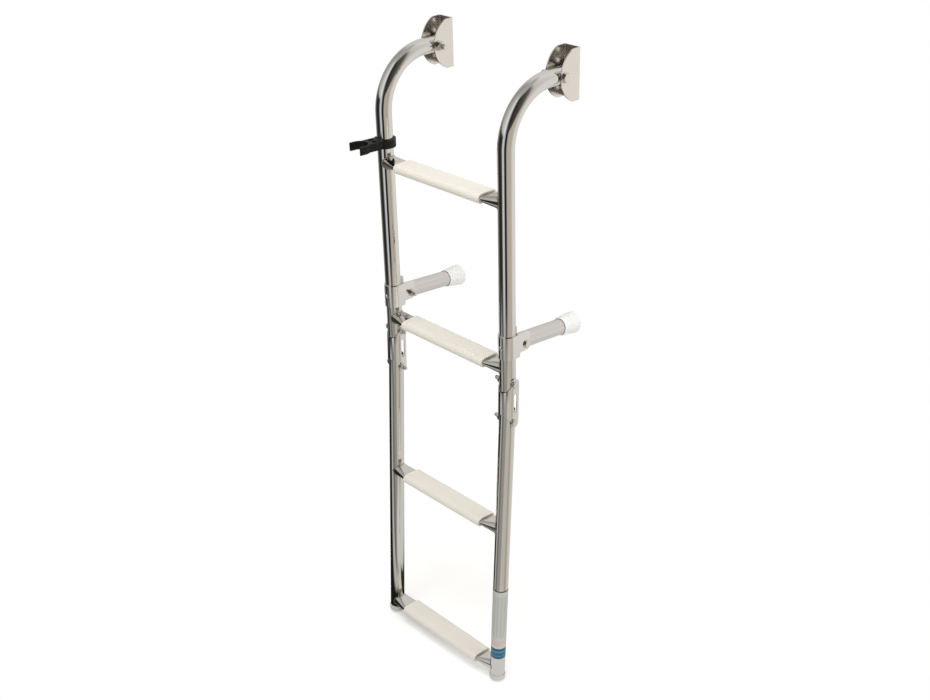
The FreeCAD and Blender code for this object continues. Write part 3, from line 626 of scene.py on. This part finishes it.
def hexagon_bolt(start, end, flats, shank, head_rise, pitch):
    """A bolt along X: hexagon head at its start, thread at its end."""
    profile = [(0, start + head_rise / 2), (shank, start + head_rise / 2)]
    turns = int(thread_long / pitch)
    for turn in range(turns):
        root = end - (turns - turn) * pitch - end_chamfer
        profile += [(shank - thread_depth, root), (shank, root + pitch / 2)]
    profile += [(shank - thread_depth, end - end_chamfer), (shank - end_taper, end), (0, end)]
    seat = start + head_rise
    head, chamfer = hexagon(flats, start, seat - washer_thickness / 2, ["low"])
    return carve("hexagon_bolt", head, [
        chamfer, ("UNION", turned(profile, around=40, along="X")),
        ("UNION", washer(flats, seat - washer_thickness, seat))], fastener_edge, segments=1)


def lock_nut(seat, end, flats, shank, hexagon_height):
    """A lock nut along X: chamfered hexagon on its seat, then a round collar."""
    top = seat + hexagon_height
    collar_rim = flats * collar_share
    collar_bore = shank + collar_play
    soft = (end - top) / 2
    foot = seat + hexagon_height / 2
    under = seat + washer_thickness
    collar = turned([(0, foot), (collar_rim, foot)]
                    + [(collar_rim - soft + v, end - soft + u) for u, v in
                       arc(0, 0, soft, 90, 0, steps=5)]
                    + [(collar_bore, end), (collar_bore, end - end_chamfer),
                       (0, end - end_chamfer)], along="X")
    block, chamfer = hexagon(flats, under - washer_thickness / 2, top, ["high"])
    return carve("lock_nut", block, [
        chamfer, ("UNION", collar), ("UNION", washer(flats, seat, under))], fastener_edge,
                 segments=1)


# Name, body, shank radius, half across flats, head height, nut height and thread pitch.
bolt_sets = [
    ("bracket", "brackets", 0.004, 0.0065, 0.004, 0.0055, 0.00125),
    ("standoff", "upper_section", 0.003, 0.005, 0.0032, 0.004, 0.001),
    ("upper_hinge", "hinge_links", 0.003, 0.005, 0.004, 0.004, 0.001),
    ("lower_hinge", "hinge_links", 0.003, 0.005, 0.004, 0.004, 0.001)]
for side, outward in (("right", 1), ("left", -1)):
    for word, body, shank, flats, head_rise, nut_height, pitch in bolt_sets:
        for kind in ("bolt", "nut"):
            node = "%s_%s_%s" % (side, word, kind)
            low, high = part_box(node)
            start, end = sorted((-low.x * outward, -high.x * outward))
            if kind == "bolt":
                mesh = hexagon_bolt(start, end, flats, shank, head_rise, pitch)
            else:
                mesh = lock_nut(start, end, flats, shank, nut_height)
            turn = Matrix.Rotation(math.pi if outward > 0 else 0, 4, "Z")
            centre = Vector((0, (low.y + high.y) / 2, (low.z + high.z) / 2))
            add_piece("%s_%s_%s" % (side, word, "hexagon_bolt" if kind == "bolt" else "lock_nut"),
                      placed(mesh, Matrix.Translation(centre) @ turn),
                      fastener_steel, body, node)


# Rungs. The same tube as the stiles, a size under it, pressed flat over its middle and
# left round at its ends, where it is coped to the stile and welded with a small bead.

rung_steel = polished_stainless("belt_polished_rung_steel", "#d9d7d2", 0.09,
                                (along_line, across_line, across_line))
weld_grain = (900, 900, 900)
weld_steel = polished_stainless("passivated_weld_bead", "#b9b2a6", 0.22, weld_grain)
rung_round = 0.012
rung_half_wide = 0.0165
rung_half_thick = 0.00425
rung_inset = 0.003
press_edge = 0.0935
press_blend = 0.0025
bead_radius = 0.0011
bead_pitch = 0.0016
bead_ripple = 0.12
settling_rounds = 8
lower_lean = math.radians(3.34)
hinge_places = {joint["name"]: Vector(joint["pos_m"]) for joint in frame["joints"]}
stile_half_gap = (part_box("right_lower_stile")[1].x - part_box("left_lower_stile")[0].x) / 2 \
    - tube_radius


def rung_section(from_middle, around=12):
    """Half-round-ended section of a rung at a distance from its middle, as (y, z) points."""
    half_span = stile_half_gap - rung_inset
    share = (from_middle - press_edge) / (half_span - press_edge)
    blend = press_blend / (half_span - press_edge)
    if share < -blend:
        share = 0.0
    elif share < blend:
        share = (share + blend) ** 2 / (4 * blend)
    half_wide = rung_half_wide + (rung_round - rung_half_wide) * share
    half_thick = rung_half_thick + (rung_round - rung_half_thick) * share
    flat = half_wide - half_thick
    points = arc(flat, 0, half_thick, -90, 90, steps=around * 2)
    points += arc(-flat, 0, half_thick, 90, 270, steps=around * 2)
    return points


def pressed_rung(name):
    """A rung along X about the origin."""
    half_span = stile_half_gap - rung_inset
    places = [press_edge + (half_span - press_edge) * share for share in (1, 0.85, 0.5)]
    places += [press_edge + press_blend * step / 3 for step in (3, 2, 1, 0, -1, -2, -3)]
    stations = [-x for x in places] + [-press_edge / 2, 0, press_edge / 2] + places[::-1]
    rings = [[Vector((x, y, z)) for y, z in rung_section(abs(x))] for x in stations]
    return skin(name, rings, capped=True)


def weld_bead(name, end, around=36):
    """A rippled bead round the joint of a rung and a stile; end is -1 or 1."""
    path = []
    for index in range(len(rung_section(stile_half_gap, around))):
        x = stile_half_gap - tube_radius
        for _ in range(settling_rounds):
            y, z = rung_section(x, around)[index]
            reach = max(tube_radius ** 2 - y ** 2, 0.0)
            x = stile_half_gap - math.sqrt(reach)
        path.append(Vector((x * end, y, z)))
    path = [point for index, point in enumerate(path)
            if (point - path[index - 1]).length > bead_radius / 10]
    rings = []
    travelled = 0.0
    for step, point in enumerate(path):
        ahead = (path[(step + 1) % len(path)] - path[step - 1]).normalized()
        outward = Vector((0, point.y, point.z)).normalized()
        side_way = ahead.cross(outward).normalized()
        travelled += (point - path[step - 1]).length
        ripple = 1 + bead_ripple * math.cos(2 * math.pi * travelled / bead_pitch)
        rings.append([point + (outward * v + side_way * u) * ripple
                      for u, v in circle(bead_radius, around=10)])
    return skin(name, rings, closed=True)


treads = [("top", "upper_section", 0.0), ("second", "upper_section", 0.0),
          ("third", "lower_section", -lower_lean), ("bottom", "lower_section", -lower_lean)]
tread_places = {}
for word, body, turn in treads:
    low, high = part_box(word + "_rung")
    tread_places[word] = Matrix.Translation((low + high) / 2) @ Matrix.Rotation(turn, 4, "X")
    add_piece(word + "_pressed_rung", placed(pressed_rung("pressed_rung"), tread_places[word]),
              rung_steel, body, word + "_rung")
    for end_word, end in (("left", -1), ("right", 1)):
        add_piece("%s_%s_weld_bead" % (word, end_word),
                  placed(weld_bead("weld_bead", end), tread_places[word]),
                  weld_steel, body, None)


# Tread pads. Cream PVC extruded as an open section with a non-slip top, sprung over the
# pressed part of each rung, so that its two lips hook under the rung.

# The grain of a mould or die is too fine to show, so it is drawn 1.6 mm coarse.
mould_grain_mm = 1.6
mould_grain_depth = 0.000006
clouds_per_metre = 24.0
sheen_spread = 0.15
plastic_ior = 1.52
matt_specular_level = 0.25


def moulded_plastic(name, tone, shade, roughness, grain_depth=mould_grain_depth):
    """Plastic from a mould or die: a soft sheen over a fine grain, and a faint uneven tone."""
    material, tree = new_material(name)
    place = add_node(tree, "ShaderNodeTexCoord", {}, {})
    grain = add_node(tree, "ShaderNodeTexNoise", {}, {
        "Vector": place.outputs["Object"], "Scale": 1000 / mould_grain_mm, "Detail": 1.0})
    cloud = add_node(tree, "ShaderNodeTexNoise", {}, {
        "Vector": place.outputs["Object"], "Scale": clouds_per_metre, "Detail": 2.0})
    tint = add_node(tree, "ShaderNodeMix", {"data_type": "RGBA"}, {
        "Factor": cloud.outputs["Fac"], 6: linear(tone), 7: linear(shade)})
    sheen = add_node(tree, "ShaderNodeMapRange", {}, {
        "Value": cloud.outputs["Fac"], "To Min": roughness * (1 - sheen_spread),
        "To Max": roughness * (1 + sheen_spread)})
    skin_bump = add_node(tree, "ShaderNodeBump", {}, {
        "Height": grain.outputs["Fac"], "Strength": 0.15, "Distance": grain_depth})
    plastic = add_node(tree, "ShaderNodeBsdfPrincipled", {}, {
        "Base Color": tint.outputs[2], "Roughness": sheen.outputs[0],
        "Specular IOR Level": matt_specular_level, "IOR": plastic_ior,
        "Normal": skin_bump.outputs[0]})
    add_node(tree, "ShaderNodeOutputMaterial", {}, {"Surface": plastic.outputs[0]})
    return material


cream_pvc = moulded_plastic("extruded_cream_pvc", "#f2ede3", "#ebe6da", 0.6)
pad_edge = 0.0005
pad_wall = 0.0032
pad_play = 0.0002
pad_lip = 0.009
for word, body, turn in treads:
    low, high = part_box(word + "_tread_pad")
    half_long = (high.x - low.x) / 2
    inner = rung_half_thick + pad_play
    outer = inner + pad_wall
    flat = rung_half_wide - rung_half_thick
    lip_round = pad_wall / 3
    section = round_corners(
        [(-pad_lip, -outer, lip_round), (-pad_lip, -inner, lip_round)]
        + sharp(arc(-flat, 0, inner, 270, 90, steps=20))
        + sharp(arc(flat, 0, inner, 90, -90, steps=20))
        + [(pad_lip, -inner, lip_round), (pad_lip, -outer, lip_round)]
        + sharp(arc(flat, 0, outer, -90, 90, steps=24))
        + sharp(arc(-flat, 0, outer, 90, 270, steps=24)))
    pad = carve(word + "_cream_pad", prism(section, -half_long, half_long, "X"), [], pad_edge,
                segments=3)
    add_piece(word + "_cream_pad", placed(pad, tread_places[word]), cream_pvc, body,
              word + "_tread_pad")


# Straps. A band of 1.6 mm sheet bent round the front of each upper stile, whose two ears
# carry the stand-off arm. A small pan-headed screw in front keeps it from slipping.

def bent_sheet(inner, outer, back, centre=0.0):
    """Plan of a sheet bent to a U, closed towards -Y and open towards +Y."""
    return ([Vector((-outer, back))] + arc(0, centre, outer, 180, 360, steps=32)
            + [Vector((outer, back)), Vector((inner, back))]
            + arc(0, centre, inner, 360, 180, steps=32) + [Vector((-inner, back))])


strap_steel = polished_stainless("bright_strap_steel", "#e8e6e3", 0.07, tumbled)
sheet = 0.0016
ear_shoulder = 0.0125
ear_lower_step = 0.007
ear_corner = 0.006
ear_notch_round = 0.0008
small_bore = 0.00305
arm_bolt_setback = 0.0266
arm_bolt_lower = 0.002
screw_shank = 0.002
screw_neck = 0.0004
for side in ("right", "left"):
    low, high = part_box(side + "_strap")
    outer = (high.x - low.x) / 2
    half_tall = (high.z - low.z) / 2
    strap_axis = Vector(((low.x + high.x) / 2, low.y + outer, (low.z + high.z) / 2))
    reach = high.y - strap_axis.y
    ears = round_corners([
        (-outer - past, -half_tall, 0), (ear_shoulder, -half_tall, 0),
        (ear_shoulder, -half_tall + ear_lower_step, ear_notch_round),
        (reach, -half_tall + ear_lower_step, ear_corner),
        (reach, half_tall, ear_corner), (-outer - past, half_tall, 0)])
    strap = carve(side + "_bent_strap", prism(bent_sheet(outer - sheet, outer, reach + past),
                                              -half_tall - past, half_tall + past, "Z"),
                  [("INTERSECT", prism(ears, -outer - past, outer + past, "X")),
                   ("DIFFERENCE", pin(small_bore, -outer - past, outer + past, "X",
                                      (0, arm_bolt_setback, -arm_bolt_lower))),
                   ("DIFFERENCE", pin(screw_shank, -outer - past, 0, "Y", (0, 0, 0)))],
                  sheet_edge)
    add_piece(side + "_bent_strap", placed(strap, Matrix.Translation(strap_axis)),
              strap_steel, "upper_section", side + "_strap")
    low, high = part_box(side + "_strap_screw")
    head = (high.x - low.x) / 2
    seat = strap_axis.y - outer
    rise = seat - low.y - screw_neck
    crown_radius = (head ** 2 + rise ** 2) / (2 * rise)
    crown = [(v, low.y + crown_radius + u) for u, v in arc(
        0, 0, crown_radius, 180, 180 - math.degrees(math.asin(head / crown_radius)), steps=10)]
    screw = turned([(0, low.y)] + crown[1:] + [
        (head - screw_neck, seat - screw_neck / 2), (head - screw_neck, seat),
        (screw_shank, seat), (screw_shank, high.y), (0, high.y)], around=40, along="Y")
    add_piece(side + "_pan_head_screw",
              placed(screw, Matrix.Translation((strap_axis.x, 0, strap_axis.z))),
              fastener_steel, "upper_section", side + "_strap_screw")


# Stand-off arms. Short tube with a satin finish, bolted between the ears of the strap. The
# heel is rounded off above so that the arm folds up. A white rubber cap closes the end.

arm_steel = polished_stainless("satin_brushed_arm_steel", "#dddad6", 0.22,
                               (across_line, along_line, across_line))
white_rubber = moulded_plastic("moulded_white_rubber", "#f6f6f4", "#f1f1ef", 0.5)
arm_heel = 0.0123
arm_heel_round = 0.0133
arm_length = 0.118
arm_droop = math.radians(6)
cap_length = 0.033
cap_floor = 0.005
cap_mouth_wall = 0.0016
cap_rim = 0.0175
cap_edge = 0.0025
fit_play = 0.00005
for side in ("right", "left"):
    arm_place = Matrix.Translation(hinge_places[side + "_standoff_fold"]) \
        @ Matrix.Rotation(-arm_droop, 4, "X")
    arm_place.translation.x = 0.5 * sum(corner.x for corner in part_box(side + "_standoff_arm"))
    heel = arc(0, 0, arm_heel_round, 180, 90, steps=24) + [
        Vector((0, tube_radius + past)), Vector((-arm_heel_round - past, tube_radius + past)),
        Vector((-arm_heel_round - past, 0))]
    arm = carve(side + "_arm_tube", turned(rod(tube_radius, -arm_heel, arm_length),
                                           around=64, along="Y"),
                [("DIFFERENCE", pin(tube_radius - tube_wall, -arm_heel - past,
                                    arm_length + past, "Y", (0, 0, 0))),
                 ("DIFFERENCE", prism(heel, -tube_radius - past, tube_radius + past, "X")),
                 ("DIFFERENCE", pin(small_bore, -tube_radius - past, tube_radius + past, "X",
                                    (0, 0, 0)))], sheet_edge)
    add_piece(side + "_arm_tube", placed(arm, arm_place), arm_steel, side + "_standoff",
              side + "_standoff_arm")
    bore = tube_radius + fit_play
    face = arm_length + cap_floor
    mouth = face - cap_length
    lip = cap_mouth_wall / 2
    outline = [(0, arm_length + fit_play), (bore, arm_length + fit_play), (bore, mouth + lip)]
    outline += arc(bore + lip, mouth + lip, lip, 180, 360, steps=10)
    outline += arc(cap_rim - cap_edge, face - cap_edge, cap_edge, 0, 90, steps=10)
    outline += [(cap_rim - cap_edge * 2, face), (0, face)]
    add_piece(side + "_flared_cap", placed(turned(outline, around=72, along="Y"), arm_place),
              white_rubber, side + "_standoff", side + "_standoff_cap")


# Hinge saddles. A U of 1.6 mm sheet with a bolt near each end. Its front is notched round
# both tubes, so that each can swing square to it, and each side plate has a long slot.

hinge_steel = polished_stainless("bright_hinge_steel", "#e8e6e3", 0.07, tumbled)
saddle_end = 0.0102
notch_depth = 0.0137
notch_side_gap = 0.0006
saddle_play = 0.0003
slot_half_wide = 0.00325
slot_half_long = 0.0165
slot_back = 0.0028
for side in ("right", "left"):
    low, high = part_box(side + "_hinge_saddle")
    outer = (high.x - low.x) / 2
    inner = outer - sheet
    middle_x = (high.x + low.x) / 2
    upper = hinge_places["upper_hinge_fold"]
    lower = hinge_places["lower_hinge_fold"]
    cant = math.atan2(upper.y - lower.y, upper.z - lower.z)
    half_pitch = (upper - lower).length / 2
    web_centre = inner - (tube_radius * math.cos(cant) - notch_depth * math.sin(cant)
                          + saddle_play)
    saddle_place = Matrix.Translation((middle_x, (upper.y + lower.y) / 2,
                                       (upper.z + lower.z) / 2)) @ Matrix.Rotation(-cant, 4, "X")
    plate = ([Vector((-outer - past, -half_pitch))]
             + arc(0, -half_pitch, saddle_end, 180, 360, steps=24)
             + arc(0, half_pitch, saddle_end, 0, 180, steps=24)
             + [Vector((-outer - past, half_pitch))])
    notch_half = inner + notch_side_gap
    notch_centre = half_pitch - notch_depth + notch_half
    slot = (arc(slot_back, slot_half_long - slot_half_wide, slot_half_wide, 0, 180)
            + arc(slot_back, slot_half_wide - slot_half_long, slot_half_wide, 180, 360))
    cuts = [("INTERSECT", prism(plate, -outer - past, outer + past, "X")),
            ("DIFFERENCE", prism(slot, -outer - past, outer + past, "X"))]
    for up in (1, -1):
        notch = (arc(0, notch_centre * up, notch_half, 180, 180 + 180 * up, steps=32)
                 + [Vector((notch_half, (half_pitch + saddle_end + past) * up)),
                    Vector((-notch_half, (half_pitch + saddle_end + past) * up))])
        cuts.append(("DIFFERENCE", prism(notch, -outer - past, 0, "Y")))
        cuts.append(("DIFFERENCE", pin(small_bore, -outer - past, outer + past, "X",
                                       (0, 0, half_pitch * up))))
    saddle = carve(side + "_hinge_saddle_sheet",
                   prism(bent_sheet(inner, outer, saddle_end + past, web_centre),
                         -half_pitch - saddle_end - past, half_pitch + saddle_end + past, "Z"),
                   cuts, sheet_edge)
    add_piece(side + "_hinge_saddle_sheet", placed(saddle, saddle_place), hinge_steel,
              "hinge_links", side + "_hinge_saddle")


# Lower stiles. The same polished tube, leaning out below the hinges, with a pale plastic
# cap on each foot. The right one wears a sleeve of printed film in plain bands.

foot_plastic = moulded_plastic("moulded_foot_plastic", "#d6d4d0", "#cdcbc6", 0.4)
stile_top = 0.019
foot_drop = 0.5055
foot_cap_wall = 0.0009
foot_cap_height = 0.0095
foot_cap_floor = 0.0025
foot_cap_edge = 0.0012
lower_steps = 8


def lower_stile_place(side):
    """The place and lean of a lower stile, level with the lower hinge bolt."""
    low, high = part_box(side + "_lower_stile")
    place = Matrix.Translation(hinge_places["lower_hinge_fold"]) \
        @ Matrix.Rotation(-lower_lean, 4, "X")
    place.translation.x = (low.x + high.x) / 2
    return place


for side in ("right", "left"):
    lower_place = lower_stile_place(side)
    heights = [stile_top - (stile_top + foot_drop) * step / lower_steps
               for step in range(lower_steps + 1)]
    stations = [(Vector((0, 0, height)), across, Vector((0, -1, 0))) for height in heights]
    tube = skin("tube", tube_rings(stations, tube_radius, tube_wall), closed=True)
    add_piece(side + "_lower_stile_tube", placed(tube, lower_place), stile_steel,
              "lower_section", side + "_lower_stile")
    bore = tube_radius + fit_play
    wall = bore + foot_cap_wall
    floor_height = -foot_drop - fit_play
    base = floor_height - foot_cap_floor
    lip = foot_cap_wall / 2
    outline = [(0, base)]
    outline += arc(wall - foot_cap_edge, base + foot_cap_edge, foot_cap_edge, 270, 360, steps=8)
    outline += arc(wall - lip, base + foot_cap_height - lip, lip, 0, 180, steps=8)
    outline += [(bore, floor_height), (0, floor_height)]
    add_piece(side + "_moulded_foot_cap", placed(turned(outline, around=64), lower_place),
              foot_plastic, "lower_section", side + "_foot_cap")

sleeve_top = 0.3205
sleeve_long = 0.141
film_thickness = 0.0002
film_play = 0.00002
# Bands of the film from its top edge down, in millimetres, with their colours.
film_bands = [(0, "#4a4b46"), (2, "#c6c7c2"), (102, "#cbc4bd"), (104, "#d2bbb3"),
              (114, "#d0ccc6"), (119, "#1b5a76"), (125, "#4f8ea4"), (128, "#1f6280"),
              (134, "#3f8fa0"), (136, "#1d5d79")]
dash_rows = (10, 96)
dash_pitch = 4.0
dashes_around = 13
row_gap_share, dash_gap_share = 0.7, 0.4
film, film_tree = new_material("printed_vinyl_film")
film_place = add_node(film_tree, "ShaderNodeTexCoord", {}, {})
on_tube = add_node(film_tree, "ShaderNodeMapping", {"vector_type": "TEXTURE"}, {
    "Vector": film_place.outputs["Object"],
    "Location": (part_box("right_lower_stile")[0].x + tube_radius,
                 hinge_places["lower_hinge_fold"].y, hinge_places["lower_hinge_fold"].z),
    "Rotation": (-lower_lean, 0, 0)})
film_axes = add_node(film_tree, "ShaderNodeSeparateXYZ", {}, {"Vector": on_tube.outputs[0]})
down_film = add_node(film_tree, "ShaderNodeMapRange", {}, {
    "Value": film_axes.outputs["Z"], "From Min": -sleeve_top,
    "From Max": -sleeve_top - sleeve_long})
bands = add_node(film_tree, "ShaderNodeValToRGB", {}, {"Fac": down_film.outputs[0]})
set_stops(bands, [(down / 1000 / sleeve_long, colour) for down, colour in film_bands],
          "CONSTANT")
row_wave = add_node(film_tree, "ShaderNodeMath", {"operation": "PINGPONG"}, {
    0: film_axes.outputs["Z"], 1: dash_pitch / 2000})
in_row = add_node(film_tree, "ShaderNodeMath", {"operation": "GREATER_THAN"}, {
    0: row_wave.outputs[0], 1: dash_pitch / 2000 * row_gap_share})
round_tube = add_node(film_tree, "ShaderNodeMath", {"operation": "ARCTAN2"}, {
    0: film_axes.outputs["X"], 1: film_axes.outputs["Y"]})
dash_wave = add_node(film_tree, "ShaderNodeMath", {"operation": "PINGPONG"}, {
    0: round_tube.outputs[0], 1: math.pi / dashes_around})
in_dash = add_node(film_tree, "ShaderNodeMath", {"operation": "GREATER_THAN"}, {
    0: dash_wave.outputs[0], 1: math.pi / dashes_around * dash_gap_share})
past_first = add_node(film_tree, "ShaderNodeMath", {"operation": "LESS_THAN"}, {
    0: film_axes.outputs["Z"], 1: -sleeve_top - dash_rows[0] / 1000})
before_last = add_node(film_tree, "ShaderNodeMath", {"operation": "GREATER_THAN"}, {
    0: film_axes.outputs["Z"], 1: -sleeve_top - dash_rows[1] / 1000})
printed = in_row
for limit in (in_dash, past_first, before_last):
    printed = add_node(film_tree, "ShaderNodeMath", {"operation": "MULTIPLY"}, {
        0: printed.outputs[0], 1: limit.outputs[0]})
ink = add_node(film_tree, "ShaderNodeMix", {"data_type": "RGBA"}, {
    "Factor": printed.outputs[0], 6: bands.outputs[0], 7: linear("#858680")})
film_gloss = add_node(film_tree, "ShaderNodeBsdfPrincipled", {}, {
    "Base Color": ink.outputs[2], "Roughness": 0.34, "IOR": 1.5})
add_node(film_tree, "ShaderNodeOutputMaterial", {}, {"Surface": film_gloss.outputs[0]})

film_inner = tube_radius + film_play
film_outer = tube_radius + film_thickness
sleeve = turned([(film_inner, -sleeve_top - sleeve_long), (film_outer, -sleeve_top - sleeve_long),
                 (film_outer, -sleeve_top), (film_inner, -sleeve_top)], around=64)
add_piece("right_stile_film_sleeve", placed(sleeve, lower_stile_place("right")), film,
          "lower_section", None)


# Stowage clip. One black nylon moulding with its ring on the left upper stile. Its jaw
# springs over the lower left stile when the ladder is folded up.

nylon_grain_depth = 0.00001
black_nylon = moulded_plastic("moulded_black_nylon", "#0f0e0e", "#161515", 0.5,
                              nylon_grain_depth)
clip_turn = math.radians(8)
clip_ring_wall = 0.0042
clip_wall = 0.0027
clip_half_waist = 0.012
jaw_play = 0.0004
clip_reach = 0.046
clip_tip = 0.055
clip_tip_round = 0.0012
clip_half_rib = 0.0018
window_half_long = 0.0045
window_half_wide = 0.0035
low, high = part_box("stowage_clip")
half_tall = (high.z - low.z) / 2
ring_bore = tube_radius + fit_play
jaw = tube_radius + jaw_play
clip_edge = 0.0007
cut = half_tall + past
ring = [Vector(point) for point in circle(ring_bore + clip_ring_wall)]
web = round_corners([(-clip_half_waist, 0, 0), (-clip_half_waist, -clip_reach, 0),
                     (clip_half_waist, -clip_reach, 0), (clip_half_waist, 0, 0)])
shell = ([Vector((-jaw - clip_wall, -clip_tip)), Vector((jaw + clip_wall, -clip_tip))]
         + arc(0, -clip_reach, jaw + clip_wall, 0, 180, steps=40))
mouth = round_corners(
    [(-jaw - clip_tip_round, -clip_tip - past, 0), (-jaw - clip_tip_round, -clip_tip, 0)]
    + [(-jaw, -clip_tip + clip_tip_round, 0)]
    + sharp(arc(0, -clip_reach, jaw, 180, 0, steps=40))
    + [(jaw, -clip_tip + clip_tip_round, 0)]
    + [(jaw + clip_tip_round, -clip_tip, 0), (jaw + clip_tip_round, -clip_tip - past, 0)])
window_y = (jaw - clip_reach - ring_bore) / 2
run = window_half_long - window_half_wide
windows = []
for side_x in (clip_half_rib + window_half_wide, -clip_half_rib - window_half_wide):
    window = (arc(side_x, window_y + run, window_half_wide, 0, 180)
              + arc(side_x, window_y - run, window_half_wide, 180, 360))
    windows.append(("DIFFERENCE", prism(window, -cut, cut, "Z")))
clip = carve("moulded_stowage_clip", prism(ring, -half_tall, half_tall, "Z"),
             [("UNION", prism(web, -half_tall, half_tall, "Z")),
              ("UNION", prism(shell, -half_tall, half_tall, "Z")),
              ("DIFFERENCE", pin(ring_bore, -cut, cut, "Z", (0, 0, 0))),
              ("DIFFERENCE", prism(mouth, -cut, cut, "Z"))] + windows, clip_edge,
             segments=3)
add_piece("moulded_stowage_clip",
          placed(clip, Matrix.Translation(hinge_places["clip_turn"])
                 @ Matrix.Rotation(-clip_turn, 4, "Z")
                 @ Matrix.Translation((0, 0, (low.z + high.z) / 2 - hinge_places["clip_turn"].z))),
          black_nylon, "clip", "stowage_clip")
